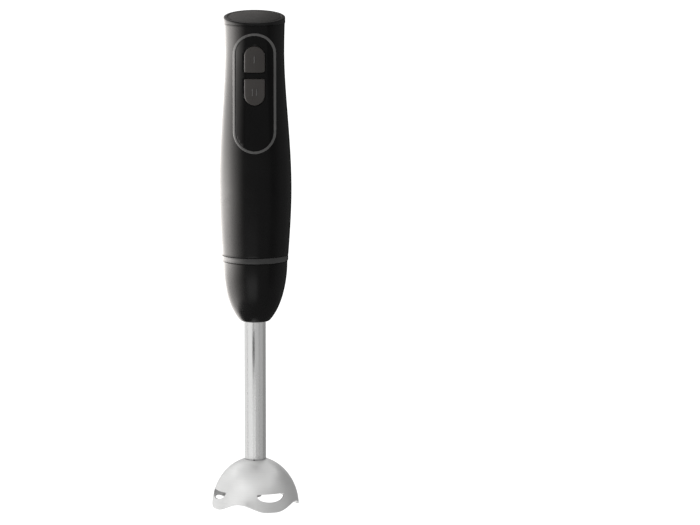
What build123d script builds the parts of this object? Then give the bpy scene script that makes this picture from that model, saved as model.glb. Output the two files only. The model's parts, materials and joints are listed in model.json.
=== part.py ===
"""Immersion blender: a two-speed motor handle on a detachable stainless leg.

Millimetres, +Z up. The origin is on the floor under the middle of the blade guard, on which
the blender stands, and the buttons face -Y. A name ending in _z is a height above the floor.
"""
import os
from math import asin, atan2, cos, degrees, radians, sin

from build123d import *

os.makedirs("parts", exist_ok=True)

# ---- handle, outside -----------------------------------------------------------------------
handle_length = 181.9
handle_bottom_radius = 26.3
belly_radius = 28.8  # the widest place of the grip
belly_rise = 49.4  # of the belly, above the handle's bottom edge
shoulder_radius = 25.35
shoulder_drop = 64.5  # of the shoulder, below the handle's top edge
waist_radius = 23.35
waist_drop = 26.5
handle_top_radius = 23.75
housing_wall = 2.2

cap_radius = 24.1
cap_front_height = 1.8
cap_rear_height = 7.8
cap_edge_rounding = 1.0
cap_skirt_depth = 5.3
cap_wall = 1.8
cap_groove_radius = 21.5
cap_groove_width = 0.6
cap_groove_depth = 0.4

gland_drop = 12.0  # of the cord gland's middle, below the handle's top edge
gland_hole_radius = 4.6
gland_flange_radius = 6.5
gland_bore_radius = 3.2
gland_flange_height = 1.6

vent_count = 5
vent_length = 16.0
vent_width = 1.8
vent_pitch = 4.2
vent_drop = 79.0

# ---- control panel and buttons --------------------------------------------------------------
panel_width = 33.7  # over the trim ring
panel_height = 93.7
panel_drop = 52.85  # of the panel's middle, below the handle's top edge
board_rise = 26.0  # of the circuit board's top edge, above the buttons' middle
holder_clearance = 0.6  # above the switches, with the buttons pressed
capacitor_drop = 5.0
capacitor_rounding = 0.8
rectifier_rise = 11.0
rectifier_chamfer = 0.5
lead_start_rise = 4.0  # above the board's lower edge
stem_recess = 0.2
ring_flange_clearance = 0.5
trim_width = 2.0
trim_height = 0.5

button_width = 15.9
button_height = 20.5
button_gap = 4.9
button_corner = 1.2
button_pair_drop = 39.1
button_proud = 1.0
button_edge = 0.5
button_clearance = 0.4
button_travel = 1.4
button_flange = 1.1
button_flange_clearance = 0.3
button_flange_thickness = 1.2
stem_radius = 2.0
stem_clearance = 0.15
collar_radius = 3.7
collar_depth = 0.9
spring_wire_radius = 0.3
spring_turns = 4

# ---- control electronics --------------------------------------------------------------------
board_thickness = 1.6
board_width = 32.0
board_length = 60.0
switch_width = 6.4
switch_length = 19.4
switch_depth = 9.8
switch_pin_radius = 1.2
switch_pin_length = 4.2
running_clearance = 0.04
holder_width = 24.0
holder_length = 50.0
holder_wall = 1.4
board_screw_radius = 1.1
board_screw_head_radius = 2.2
board_screw_head = 1.6
board_screw_length = 7.5
board_screw_offset = 9.4
board_screw_rise = 20.0
capacitor_size = (18.0, 9.0, 17.0)
rectifier_size = (16.0, 4.5, 9.0)
lead_radius = 0.8
lead_spacing = 12.0

# ---- housing screws -------------------------------------------------------------------------
boss_radius = 3.0
housing_screw_radius = 1.5
housing_screw_head_radius = 2.7
housing_screw_head = 2.2
housing_screw_grip = 12.0
screw_sink = 5.0  # of the counterbore, below the housing's surface at its middle
lower_boss_rise = 17.8
lower_boss_offset = 21.7
upper_boss_drop = 8.9
upper_boss_offset = 15.2

# ---- lock ring and leg socket ---------------------------------------------------------------
ring_height = 4.7
ring_radius = 26.15
ring_gap = 0.3
ring_neck_wall = 1.8
ring_flange_thickness = 2.0
lug_count = 3
lug_angle = 50.0
lug_height = 2.8
lug_reach = 3.2
lug_clearance = 0.6
plug_radius = 16.2
plug_wall = 4.6
plug_rise = 24.0  # of the plug's end, above the handle's bottom edge
plug_fit = 0.2
o_ring_radius = 0.9
o_ring_drop = 8.0
socket_wall = 2.2
socket_rise = 5.8
deck_rise = 27.8
deck_thickness = 3.0
ledge_height = 2.5
ledge_reach = 4.2
shaft_hole_radius = 5.6

# ---- motor ----------------------------------------------------------------------------------
damper_height = 2.5
cage_height = 15.0
cage_plate = 2.6
cage_post_radius = 2.2
cage_post_count = 4
cage_ring_width = 6.0
cage_air_gap = 2.1
fan_blades = 9
fan_height = 5.5
fan_clearance = 1.0
motor_air_gap = 5.9  # between the motor and the grip's wall at the belly
can_wall = 1.6
motor_headroom = 4.9
end_cap_height = 8.0
end_cap_plate = 3.5
bearing_radius = 6.0
bearing_height = 5.0
bearing_wall = 1.5
magnet_thickness = 3.9
magnet_angle = 130.0
magnet_length_margin = 5.5
air_gap = 0.8
core_slots = 8
core_slot_width = 3.0
core_slot_depth = 6.0
winding_height = 4.5
winding_inner_radius = 5.0
commutator_radius = 5.5
commutator_height = 9.5
brush_width = 5.0
brush_gap = 0.05
brush_length = 7.4
brush_holder_wall = 1.5
motor_shaft_radius = 2.5
motor_shaft_chamfer = 0.4
motor_shaft_tip = 1.2  # above the motor's end cap
motor_shaft_tail = 3.7  # below the drive coupling's teeth
can_hole_margin = 1.5  # round the shaft
magnet_overlap = 1.0  # of the magnets over the lower bearing
rotor_clearance = 1.0
commutator_gap = 1.5
winding_recess = 0.6  # of the windings in the core's slots
winding_end_recess = 1.2
winding_rounding = 1.6
fan_clearance_below = 0.9
fan_plate = 1.2
fan_hub_wall = 3.0
motor_screw_offset = 13.0
motor_screw_radius = 1.5
motor_screw_head_radius = 2.8
motor_screw_head = 1.6

# ---- leg ------------------------------------------------------------------------------------
nose_length = 48.4
nose_top_radius = 25.5
nose_curve_height = 53.5
nose_wall = 2.5
nose_floor = 5.0
nose_rounding = 2.4
adaptor_flange = 3.3
adaptor_flange_seat = 0.2
adaptor_sleeve_length = 20.0
adaptor_sleeve_wall = 2.6
adaptor_floor = 4.5
adaptor_screw_count = 3
adaptor_screw_radius = 1.25
adaptor_screw_head_radius = 2.4
adaptor_screw_length = 9.0
adaptor_post_radius = 3.0
adaptor_post_depth = 14.0
tube_radius = 8.4
tube_wall = 0.8
tube_exposed = 108.5
tube_in_nose = 35.9
drive_shaft_radius = 2.5
bush_radius = 5.0
bush_running_fit = 0.02
upper_bush_length = 16.0
carrier_length = 18.0
spacer_length = 10.0
clip_radius = 4.6

# ---- couplings ------------------------------------------------------------------------------
coupling_teeth = 6
coupling_core_radius = 4.2
coupling_tooth_reach = 2.0
coupling_tooth_width = 2.4
coupling_play = 0.4
coupling_wall = 2.9
coupling_depth = 15.0
coupling_boss_radius = 6.0
coupling_boss_height = 13.0
coupling_engagement = 11.5
coupling_drop = 4.0  # of the cup's rim, below the plug's top
coupling_end_gap = 1.0
coupling_hub_height = 6.0
coupling_bore_margin = 10.0
coupling_chamfer = 0.6

# ---- blade guard and blade ------------------------------------------------------------------
guard_radius = 34.2
guard_height = 39.0
guard_wall = 1.0
lobe_count = 4
lobe_turn = 22.5  # of the first lobe, from the front towards the right
lobe_foot_width = 7.0
valley_height = 6.0
slot_top = 14.4
slot_bottom = 8.1
slot_angle = 38.4
slot_corner = 1.3
slot_shoulder = 2.0
hub_radius = 10.5
hub_bottom = 18.0
hub_flange_height = 12.0
hub_plug_length = 14.0
seal_radius = 6.5
seal_height = 3.2
blade_radius = 26.0
blade_width = 10.0
blade_thickness = 1.2
blade_height = 11.0
blade_bend_radius = 11.0
blade_tip_rise = 4.6
blade_tip_fall = 3.2
blade_hub_radius = 5.0
washer_thickness = 1.0
washer_gap = 0.6
nut_across_flats = 8.0
nut_height = 3.6

# ---- levels worked out from the sizes above -------------------------------------------------
nose_bottom_z = guard_height + tube_exposed
ring_bottom_z = nose_bottom_z + nose_length
nose_top_z = ring_bottom_z - ring_gap
handle_bottom_z = ring_bottom_z + ring_height
handle_top_z = handle_bottom_z + handle_length
panel_z = handle_top_z - panel_drop
button_pair_z = handle_top_z - button_pair_drop
gland_z = handle_top_z - gland_drop
deck_z = handle_bottom_z + deck_rise
deck_top_z = deck_z + deck_thickness
board_top_z = button_pair_z + board_rise
board_bottom_z = board_top_z - board_length
end_cap_top_z = board_bottom_z - motor_headroom
can_top_z = end_cap_top_z - end_cap_height
cage_bottom_z = deck_top_z + damper_height
can_bottom_z = cage_bottom_z + cage_height
plug_top_z = handle_bottom_z + plug_rise
adaptor_flange_z = nose_top_z - adaptor_flange
tube_top_z = nose_bottom_z + tube_in_nose
tube_bottom_z = hub_bottom + hub_flange_height
lower_boss_z = handle_bottom_z + lower_boss_rise
upper_boss_z = handle_top_z - upper_boss_drop

boss_places = [
    (lower_boss_offset, lower_boss_z),
    (-lower_boss_offset, lower_boss_z),
    (upper_boss_offset, upper_boss_z),
    (-upper_boss_offset, upper_boss_z),
]
far = 2 * belly_radius  # longer than any cut through the handle needs to be


# ---- shapes that several pieces share -------------------------------------------------------
def ring_at(height, inner, outer):
    """A flat ring about the main axis, at one height."""
    with BuildSketch(Plane.XY.offset(height)) as flat:
        Circle(outer)
        if inner > 0:
            Circle(inner, mode=Mode.SUBTRACT)
    return flat.sketch


def ring_arc(height, inner, outer, angle, turn):
    """A stretch of a flat ring, centred on the direction turn (degrees from +X)."""
    reach = 2 * outer
    half = radians(angle / 2)
    with BuildSketch(Plane.XY.offset(height)) as flat:
        with BuildLine():
            Polyline((0, 0), (reach * cos(half), -reach * sin(half)), (reach, 0),
                     (reach * cos(half), reach * sin(half)), (0, 0))
        make_face()
        Circle(outer, mode=Mode.INTERSECT)
        Circle(inner, mode=Mode.SUBTRACT)
    return flat.sketch.rotate(Axis.Z, turn)


def handle_section(growth):
    """Half of the handle's lengthwise section, grown (or shrunk) by a number of millimetres."""
    with BuildSketch(Plane.XZ) as section:
        with BuildLine():
            grip = Spline(
                (handle_bottom_radius + growth, handle_bottom_z),
                (belly_radius + growth, handle_bottom_z + belly_rise),
                (shoulder_radius + growth, handle_top_z - shoulder_drop),
                (waist_radius + growth, handle_top_z - waist_drop),
                (handle_top_radius + growth, handle_top_z),
            )
            Polyline(grip @ 1, (0, handle_top_z), (0, handle_bottom_z), grip @ 0)
        make_face()
    return section.sketch


def handle_solid(growth):
    """The handle's grip as a solid of revolution."""
    with BuildPart() as grip:
        revolve(handle_section(growth), axis=Axis.Z)
    return grip.part


def wrapped(outline, reach, outside, inside):
    """What lies behind a flat outline between two depths of the handle's curved wall.

    reach is positive towards the front (-Y) and negative towards the rear.
    """
    with BuildPart() as patch:
        extrude(outline, amount=reach)
        add(handle_solid(outside), mode=Mode.INTERSECT)
        add(handle_solid(inside), mode=Mode.SUBTRACT)
    return patch.part


def panel_outline(inset):
    """The panel's upright oval, drawn smaller by inset all round."""
    with BuildSketch(Plane.XZ) as oval:
        with Locations((0, panel_z)):
            SlotOverall(panel_height - 2 * inset, panel_width - 2 * inset, rotation=90)
    return oval.sketch


def button_outline(growth, upward):
    """A button's outline: a flat edge beside its neighbour and a round end away from it."""
    side = 1 if upward else -1
    end_radius = button_width / 2
    flat_z = button_pair_z + side * button_gap / 2
    round_z = flat_z + side * (button_height - end_radius)
    with BuildSketch(Plane.XZ) as outline:
        with BuildLine():
            Polyline((-end_radius, round_z), (-end_radius, flat_z), (end_radius, flat_z),
                     (end_radius, round_z))
            ThreePointArc((end_radius, round_z), (0, round_z + side * end_radius), (-end_radius, round_z))
        make_face()
        corners = outline.vertices().group_by(Axis.Y)[0 if upward else -1]
        fillet(corners, button_corner)
        if growth != 0:
            offset(amount=growth, kind=Kind.ARC, mode=Mode.REPLACE)
    return outline.sketch


def star(height, core, tooth_reach, tooth_width):
    """The toothed outline of the drive coupling."""
    with BuildSketch(Plane.XY.offset(height)) as outline:
        Circle(core)
        with PolarLocations(0, coupling_teeth):
            with Locations(((core + tooth_reach) / 2, 0)):
                Rectangle(core + tooth_reach, tooth_width)
    return outline.sketch


def coil(start, towards, length, radius, wire, turns):
    """A coil spring from a start point along a direction."""
    with BuildPart() as spring:
        with BuildLine() as path:
            Helix(pitch=(length - 2 * wire) / turns, height=length - 2 * wire, radius=radius,
                  center=Vector(*start) + Vector(*towards) * wire, direction=towards)
        with BuildSketch(Plane(origin=path.line @ 0, z_dir=path.line % 0)):
            Circle(wire)
        sweep(is_frenet=True)
    return spring.part


def save(piece, name):
    """Label one finished piece and write it to its own file."""
    piece.part.label = name
    export_step(piece.part, f"parts/{name}.step")


# ---- handle housings ------------------------------------------------------------------------
inner_growth = -housing_wall
neck_inner_radius = plug_radius + lug_reach + lug_clearance
neck_radius = neck_inner_radius + ring_neck_wall
rib_depth = 3.0

with BuildPart() as housing_inside:
    # floor lip that carries the lock ring, and the ledge under the motor deck
    extrude(ring_at(handle_bottom_z, neck_radius + ring_gap, far), amount=housing_wall)
    extrude(ring_at(deck_z - ledge_height, handle_bottom_radius - ledge_reach, far), amount=ledge_height)
    # screw bosses across the seam
    with BuildSketch(Plane.XZ):
        with Locations(*boss_places):
            Circle(boss_radius)
    extrude(amount=far, both=True)
    # ribs behind the edges of the circuit board
    with BuildSketch(Plane.XZ):
        with Locations((0, board_top_z - board_length / 2)):
            Rectangle(far, board_length)
            Rectangle(board_width - 5.0, board_length, mode=Mode.SUBTRACT)
    extrude(amount=-rib_depth)
    add(handle_solid(inner_growth / 2), mode=Mode.INTERSECT)

with BuildPart() as housing:
    add(handle_solid(0))
    add(handle_solid(inner_growth), mode=Mode.SUBTRACT)
    add(housing_inside.part)
    extrude(panel_outline(0), amount=far, mode=Mode.SUBTRACT)

with BuildPart() as front_housing:
    add(housing.part)
    split(bisect_by=Plane.XZ, keep=Keep.TOP)
    # blind pilot holes for the housing screws
    with BuildSketch(Plane.XZ):
        with Locations(*boss_places):
            Circle(housing_screw_radius)
    extrude(amount=housing_screw_grip, mode=Mode.SUBTRACT)
save(front_housing, "front_housing")

screw_seat = waist_radius * cos(asin(upper_boss_offset / waist_radius)) - screw_sink
with BuildPart() as rear_housing:
    add(housing.part)
    split(bisect_by=Plane.XZ, keep=Keep.BOTTOM)
    with BuildSketch(Plane.XZ):
        with Locations(*boss_places):
            Circle(housing_screw_radius)
    extrude(amount=-far, mode=Mode.SUBTRACT)
    with BuildSketch(Plane.XZ.offset(-screw_seat)):
        with Locations(*boss_places):
            Circle(housing_screw_head_radius)
    extrude(amount=-far, mode=Mode.SUBTRACT)
    # cooling slots
    with BuildSketch(Plane.XZ.offset(-rib_depth - 1)):
        with Locations((0, handle_top_z - vent_drop)):
            with GridLocations(0, vent_pitch, 1, vent_count):
                SlotOverall(vent_length, vent_width)
    extrude(amount=-far, mode=Mode.SUBTRACT)
    with BuildSketch(Plane.XZ):
        with Locations((0, gland_z)):
            Circle(gland_hole_radius)
    extrude(amount=-far, mode=Mode.SUBTRACT)
save(rear_housing, "rear_housing")

with BuildPart() as housing_screws:
    with BuildSketch(Plane.XZ.offset(housing_screw_grip - 1)):
        with Locations(*boss_places):
            Circle(housing_screw_radius)
    extrude(amount=-(housing_screw_grip - 1 + screw_seat))
    with BuildSketch(Plane.XZ.offset(-screw_seat)):
        with Locations(*boss_places):
            Circle(housing_screw_head_radius - 0.1)
    extrude(amount=-housing_screw_head)
    with BuildSketch(Plane.XZ.offset(-screw_seat - housing_screw_head)):
        with Locations(*boss_places):
            Rectangle(0.8, 3.4)
            Rectangle(3.4, 0.8)
    extrude(amount=1.2, mode=Mode.SUBTRACT)
save(housing_screws, "housing_screws")

# ---- top cap --------------------------------------------------------------------------------
cap_slope = degrees(atan2(cap_rear_height - cap_front_height, 2 * cap_radius))
cap_middle_z = handle_top_z + (cap_front_height + cap_rear_height) / 2
cap_plane = Plane(origin=(0, 0, cap_middle_z), x_dir=(1, 0, 0),
                  z_dir=(0, -sin(radians(cap_slope)), cos(radians(cap_slope))))

with BuildPart() as cap_hollow:
    extrude(ring_at(handle_top_z, 0, cap_radius - 3 * cap_wall), amount=2 * cap_rear_height)
    split(bisect_by=cap_plane.offset(-cap_wall), keep=Keep.BOTTOM)

with BuildPart() as top_cap:
    extrude(ring_at(handle_top_z, 0, cap_radius), amount=2 * cap_rear_height)
    split(bisect_by=cap_plane, keep=Keep.BOTTOM)
    fillet(top_cap.faces().sort_by(Axis.Z)[-1].edges(), cap_edge_rounding)
    with BuildSketch(cap_plane):
        Circle(cap_groove_radius)
        Circle(cap_groove_radius - cap_groove_width, mode=Mode.SUBTRACT)
    extrude(amount=-cap_groove_depth, mode=Mode.SUBTRACT)
    add(cap_hollow.part, mode=Mode.SUBTRACT)
    skirt_radius = waist_radius - housing_wall
    extrude(ring_at(handle_top_z - cap_skirt_depth, skirt_radius - cap_wall, skirt_radius),
            amount=cap_skirt_depth + 0.4)
save(top_cap, "top_cap")

# ---- cord gland -----------------------------------------------------------------------------
with BuildSketch(Plane.XZ) as gland_flange:
    with Locations((0, gland_z)):
        Circle(gland_flange_radius)
with BuildSketch(Plane.XZ) as gland_neck:
    with Locations((0, gland_z)):
        Circle(gland_hole_radius)

with BuildPart() as cord_gland:
    add(wrapped(gland_flange.sketch, -far, gland_flange_height, 0))
    add(wrapped(gland_neck.sketch, -far, 0.5, inner_growth - 0.5))
    add(wrapped(gland_flange.sketch, -far, inner_growth, inner_growth - 1.4))
    with BuildSketch(Plane.XZ):
        with Locations((0, gland_z)):
            Circle(gland_bore_radius)
    extrude(amount=-far, mode=Mode.SUBTRACT)
save(cord_gland, "cord_gland")

# ---- button panel and its trim ring ---------------------------------------------------------
with BuildPart() as button_panel:
    add(wrapped(panel_outline(trim_width), far, 0, inner_growth))
    for upward in (True, False):
        extrude(button_outline(button_clearance, upward), amount=far, mode=Mode.SUBTRACT)
save(button_panel, "button_panel")

with BuildPart() as panel_ring:
    add(wrapped(panel_outline(0), far, trim_height, inner_growth))
    extrude(panel_outline(trim_width), amount=far, mode=Mode.SUBTRACT)
save(panel_ring, "panel_ring")

# ---- switch holder, board and switches ------------------------------------------------------
holder_front = board_thickness + switch_depth + button_travel + holder_clearance
button_places = [(0, button_pair_z + side * (button_gap + button_height) / 2) for side in (1, -1)]
board_screw_places = [
    (side * board_screw_offset, button_pair_z + side * board_screw_rise) for side in (1, -1)
]

with BuildPart() as switch_holder:
    with BuildSketch(Plane.XZ.offset(board_thickness)):
        with Locations((0, button_pair_z)):
            Rectangle(holder_width, holder_length)
    extrude(amount=holder_front - board_thickness)
    with BuildSketch(Plane.XZ.offset(board_thickness)):
        with Locations((0, button_pair_z)):
            Rectangle(holder_width - 2 * holder_wall, holder_length - 2 * holder_wall)
    extrude(amount=holder_front - board_thickness - holder_wall, mode=Mode.SUBTRACT)
    with BuildSketch(Plane.XZ.offset(board_thickness)):
        with Locations(*board_screw_places):
            Circle(board_screw_head_radius)
    extrude(amount=holder_front - board_thickness)
    with BuildSketch(Plane.XZ.offset(board_thickness)):
        with Locations(*board_screw_places):
            Circle(board_screw_radius)
    extrude(amount=board_screw_length, mode=Mode.SUBTRACT)
    with BuildSketch(Plane.XZ):
        with Locations(*button_places):
            Circle(stem_radius + stem_clearance)
    extrude(amount=far, mode=Mode.SUBTRACT)
save(switch_holder, "switch_holder")

with BuildPart() as circuit_board:
    with BuildSketch(Plane.XZ):
        with Locations((0, board_top_z - board_length / 2)):
            RectangleRounded(board_width, board_length, 2.0)
        with Locations(*board_screw_places):
            Circle(board_screw_radius, mode=Mode.SUBTRACT)
    extrude(amount=board_thickness)
save(circuit_board, "circuit_board")

with BuildPart() as micro_switches:
    with BuildSketch(Plane.XZ.offset(board_thickness)):
        with Locations(*button_places):
            Rectangle(switch_width, switch_length)
    extrude(amount=switch_depth)
    with BuildSketch(Plane.XZ.offset(board_thickness + switch_depth)):
        with Locations(*button_places):
            Circle(switch_pin_radius + running_clearance)
    extrude(amount=-(switch_pin_length + button_travel + 0.1), mode=Mode.SUBTRACT)
save(micro_switches, "micro_switches")

with BuildPart() as board_screws:
    with BuildSketch(Plane.XZ):
        with Locations(*board_screw_places):
            Circle(board_screw_head_radius)
    extrude(amount=-board_screw_head)
    with BuildSketch(Plane.XZ):
        with Locations(*board_screw_places):
            Circle(board_screw_radius)
    extrude(amount=board_thickness + board_screw_length)
save(board_screws, "board_screws")

with BuildPart() as suppression_capacitor:
    with BuildSketch(Plane.XZ):
        with Locations((0, button_pair_z - capacitor_drop)):
            Rectangle(capacitor_size[0], capacitor_size[2])
    extrude(amount=-capacitor_size[1])
    fillet(suppression_capacitor.faces().sort_by(Axis.Y)[-1].edges(), capacitor_rounding)
save(suppression_capacitor, "suppression_capacitor")

with BuildPart() as bridge_rectifier:
    with BuildSketch(Plane.XZ):
        with Locations((0, button_pair_z + rectifier_rise)):
            Rectangle(rectifier_size[0], rectifier_size[2])
    extrude(amount=-rectifier_size[1])
    chamfer(bridge_rectifier.faces().sort_by(Axis.Y)[-1].edges(), rectifier_chamfer)
save(bridge_rectifier, "bridge_rectifier")

lead_bend = 2.0
lead_out = 4.0
with BuildPart() as motor_leads:
    for side in (-1, 1):
        start = (side * lead_spacing / 2, 0, board_bottom_z + lead_start_rise)
        with BuildLine() as route:
            FilletPolyline(start, (start[0], lead_out, start[2]), (start[0], lead_out, end_cap_top_z),
                           radius=lead_bend)
        with BuildSketch(Plane(origin=start, z_dir=(0, 1, 0))):
            Circle(lead_radius)
        sweep(path=route.line)
save(motor_leads, "motor_leads")

# ---- speed buttons --------------------------------------------------------------------------
stem_end = holder_front - stem_recess
behind_flange = inner_growth - button_flange_clearance - button_flange_thickness
for number, upward in ((1, True), (2, False)):
    place = button_places[number - 1]
    outer_flange = inner_growth - button_flange_clearance

    with BuildPart() as button_stem:
        with BuildSketch(Plane.XZ.offset(stem_end)):
            with Locations(place):
                Circle(stem_radius)
        extrude(amount=far)
        add(handle_solid(outer_flange - button_flange_thickness / 2), mode=Mode.INTERSECT)

    with BuildPart() as button_collar:
        with BuildSketch(Plane.XZ.offset(waist_radius + behind_flange - collar_depth)):
            with Locations(place):
                Circle(collar_radius)
        extrude(amount=far)
        add(handle_solid(outer_flange - button_flange_thickness / 2), mode=Mode.INTERSECT)

    with BuildPart() as speed_button:
        add(wrapped(button_outline(0, upward), far, button_proud - button_edge, behind_flange))
        add(wrapped(button_outline(-button_edge, upward), far, button_proud, behind_flange))
        add(wrapped(button_outline(button_flange, upward), far, outer_flange, behind_flange))
        add(button_collar.part)
        add(button_stem.part)
    save(speed_button, f"speed_button_{number}")

    with BuildPart() as switch_plunger:
        with BuildSketch(Plane.XZ.offset(stem_end)):
            with Locations(place):
                Circle(switch_pin_radius)
        extrude(amount=-switch_pin_length)
    save(switch_plunger, f"switch_plunger_{number}")

    collar_back = waist_radius + behind_flange - collar_depth
    spring_radius = (stem_radius + collar_radius) / 2
    with BuildPart() as button_spring:
        add(coil((place[0], -holder_front, place[1]), (0, -1, 0), collar_back - holder_front,
                 spring_radius, spring_wire_radius, spring_turns))
    save(button_spring, f"button_spring_{number}")

# ---- lock ring ------------------------------------------------------------------------------
ring_flange_radius = handle_bottom_radius - housing_wall - ring_flange_clearance
ring_flange_z = handle_bottom_z + housing_wall + ring_gap
leg_lug_z = handle_bottom_z + ring_gap

with BuildPart() as lock_ring:
    ring_body_height = ring_height - ring_gap
    extrude(ring_at(ring_bottom_z, neck_inner_radius, ring_radius), amount=ring_body_height)
    rim = lock_ring.edges().filter_by(GeomType.CIRCLE).sort_by(SortBy.RADIUS)[-2:]
    fillet(rim, 0.4)
    extrude(ring_at(ring_bottom_z + 1, neck_inner_radius, neck_radius),
            amount=ring_flange_z + ring_flange_thickness - ring_bottom_z - 1)
    extrude(ring_at(ring_flange_z, neck_inner_radius, ring_flange_radius), amount=ring_flange_thickness)
    for index in range(lug_count):
        turn = (index + 0.5) * 360 / lug_count
        extrude(ring_arc(ring_bottom_z + 1, plug_radius + lug_clearance, neck_inner_radius + 0.5,
                         lug_angle, turn), amount=ring_body_height - 1)
save(lock_ring, "lock_ring")

# ---- leg socket and motor mount -------------------------------------------------------------
socket_radius = plug_radius + plug_fit
with BuildPart() as deck:
    extrude(ring_at(deck_z, shaft_hole_radius, far), amount=deck_thickness)
    add(handle_solid(inner_growth - ring_gap), mode=Mode.INTERSECT)

with BuildPart() as leg_socket:
    add(deck.part)
    socket_z = handle_bottom_z + socket_rise
    extrude(ring_at(socket_z, socket_radius, socket_radius + socket_wall), amount=deck_z - socket_z)
save(leg_socket, "leg_socket")

cage_radius = belly_radius - housing_wall - cage_air_gap
cage_inner_radius = cage_radius - cage_ring_width
post_ring_radius = cage_radius - cage_post_radius - 0.2
with BuildPart() as damper_ring:
    extrude(ring_at(deck_top_z, cage_inner_radius, cage_radius), amount=damper_height)
save(damper_ring, "damper_ring")

with BuildPart() as motor_cage:
    extrude(ring_at(cage_bottom_z, cage_inner_radius, cage_radius), amount=cage_plate)
    extrude(ring_at(can_bottom_z - cage_plate, shaft_hole_radius, cage_radius), amount=cage_plate)
    with BuildSketch(Plane.XY.offset(cage_bottom_z)):
        with PolarLocations(post_ring_radius, cage_post_count, start_angle=45):
            Circle(cage_post_radius)
    extrude(amount=cage_height)
    with BuildSketch(Plane.XY.offset(can_bottom_z)):
        with PolarLocations(motor_screw_offset, 2):
            Circle(motor_screw_radius)
    extrude(amount=-cage_plate, mode=Mode.SUBTRACT)
save(motor_cage, "motor_cage")

# ---- motor, still parts ---------------------------------------------------------------------
can_radius = belly_radius - housing_wall - motor_air_gap
can_inner_radius = can_radius - can_wall
can_length = can_top_z - can_bottom_z
magnet_inner_radius = can_inner_radius - magnet_thickness
core_radius = magnet_inner_radius - air_gap
can_floor_z = can_bottom_z + can_wall

with BuildPart() as motor_can:
    extrude(ring_at(can_bottom_z, 0, can_radius), amount=can_length)
    fillet(motor_can.edges().sort_by(Axis.Z)[0], can_wall)
    extrude(ring_at(can_floor_z, 0, can_inner_radius), amount=can_length, mode=Mode.SUBTRACT)
    extrude(ring_at(can_floor_z, bearing_radius, bearing_radius + bearing_wall), amount=bearing_height)
    extrude(ring_at(can_bottom_z, 0, motor_shaft_radius + can_hole_margin), amount=can_wall,
            mode=Mode.SUBTRACT)
    with BuildSketch(Plane.XY.offset(can_bottom_z)):
        with PolarLocations(motor_screw_offset, 2):
            Circle(motor_screw_radius)
    extrude(amount=can_wall, mode=Mode.SUBTRACT)
save(motor_can, "motor_can")

with BuildPart() as lower_bearing:
    extrude(ring_at(can_floor_z, motor_shaft_radius + bush_running_fit, bearing_radius),
            amount=bearing_height)
save(lower_bearing, "lower_bearing")

magnet_bottom_z = can_floor_z + bearing_height - magnet_overlap
magnet_length = can_top_z - magnet_bottom_z - magnet_length_margin
with BuildPart() as magnets:
    for turn in (90, 270):
        extrude(ring_arc(magnet_bottom_z, magnet_inner_radius, can_inner_radius, magnet_angle, turn),
                amount=magnet_length)
save(magnets, "magnets")

plate_z = end_cap_top_z - end_cap_plate
commutator_z = plate_z - 1.5 - commutator_height
brush_z = commutator_z + commutator_height / 2 + 0.5
holder_outer = brush_width + 2 * brush_holder_wall
brush_start = commutator_radius + brush_gap
brush_outer = can_inner_radius - 0.5
with BuildPart() as motor_end_cap:
    extrude(ring_at(plate_z, bearing_radius, can_radius), amount=end_cap_plate)
    fillet(motor_end_cap.edges().filter_by(GeomType.CIRCLE).group_by(Axis.Z)[-1].sort_by(SortBy.RADIUS)[-1],
           1.0)
    extrude(ring_at(can_top_z, can_inner_radius - 0.5, can_radius), amount=plate_z - can_top_z)
    for side in (-1, 1):
        middle = side * (brush_start + 1 + brush_outer) / 2
        with BuildSketch(Plane.XY.offset(brush_z - holder_outer / 2)):
            with Locations((middle, 0)):
                Rectangle(brush_outer - brush_start - 1, holder_outer)
        extrude(amount=plate_z - brush_z + holder_outer / 2)
    with BuildSketch(Plane.XY.offset(brush_z - brush_width / 2)):
        Rectangle(2 * brush_outer, brush_width)
    extrude(amount=brush_width, mode=Mode.SUBTRACT)
save(motor_end_cap, "motor_end_cap")

with BuildPart() as upper_bearing:
    extrude(ring_at(plate_z, motor_shaft_radius + bush_running_fit, bearing_radius), amount=end_cap_plate)
save(upper_bearing, "upper_bearing")

with BuildPart() as brushes:
    for side in (-1, 1):
        with BuildSketch(Plane.XY.offset(brush_z - brush_width / 2)):
            with Locations((side * (brush_start + brush_length / 2), 0)):
                Rectangle(brush_length, brush_width)
        extrude(amount=brush_width)
save(brushes, "brushes")

brush_back = brush_start + brush_length
with BuildPart() as brush_springs:
    for side in (-1, 1):
        add(coil((side * brush_back, 0, brush_z), (side, 0, 0), brush_outer - brush_back, 1.6, 0.25, 4))
save(brush_springs, "brush_springs")

with BuildPart() as motor_screws:
    with BuildSketch(Plane.XY.offset(can_floor_z)):
        with PolarLocations(motor_screw_offset, 2):
            Circle(motor_screw_radius)
    extrude(amount=-(can_wall + cage_plate))
    with BuildSketch(Plane.XY.offset(can_bottom_z - cage_plate)):
        with PolarLocations(motor_screw_offset, 2):
            Circle(motor_screw_head_radius)
    extrude(amount=-motor_screw_head)
save(motor_screws, "motor_screws")

# ---- motor, turning parts -------------------------------------------------------------------
core_bottom_z = can_floor_z + bearing_height + rotor_clearance + winding_height
core_top_z = commutator_z - commutator_gap - winding_height
core_length = core_top_z - core_bottom_z
slot_middle = core_radius - core_slot_depth / 2

with BuildSketch(Plane.XY.offset(core_bottom_z)) as core_slot_sketch:
    with PolarLocations(slot_middle, core_slots):
        Rectangle(core_slot_depth, core_slot_width)

with BuildPart() as armature_core:
    extrude(ring_at(core_bottom_z, motor_shaft_radius, core_radius), amount=core_length)
    extrude(core_slot_sketch.sketch, amount=core_length, mode=Mode.SUBTRACT)
save(armature_core, "armature_core")

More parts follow.
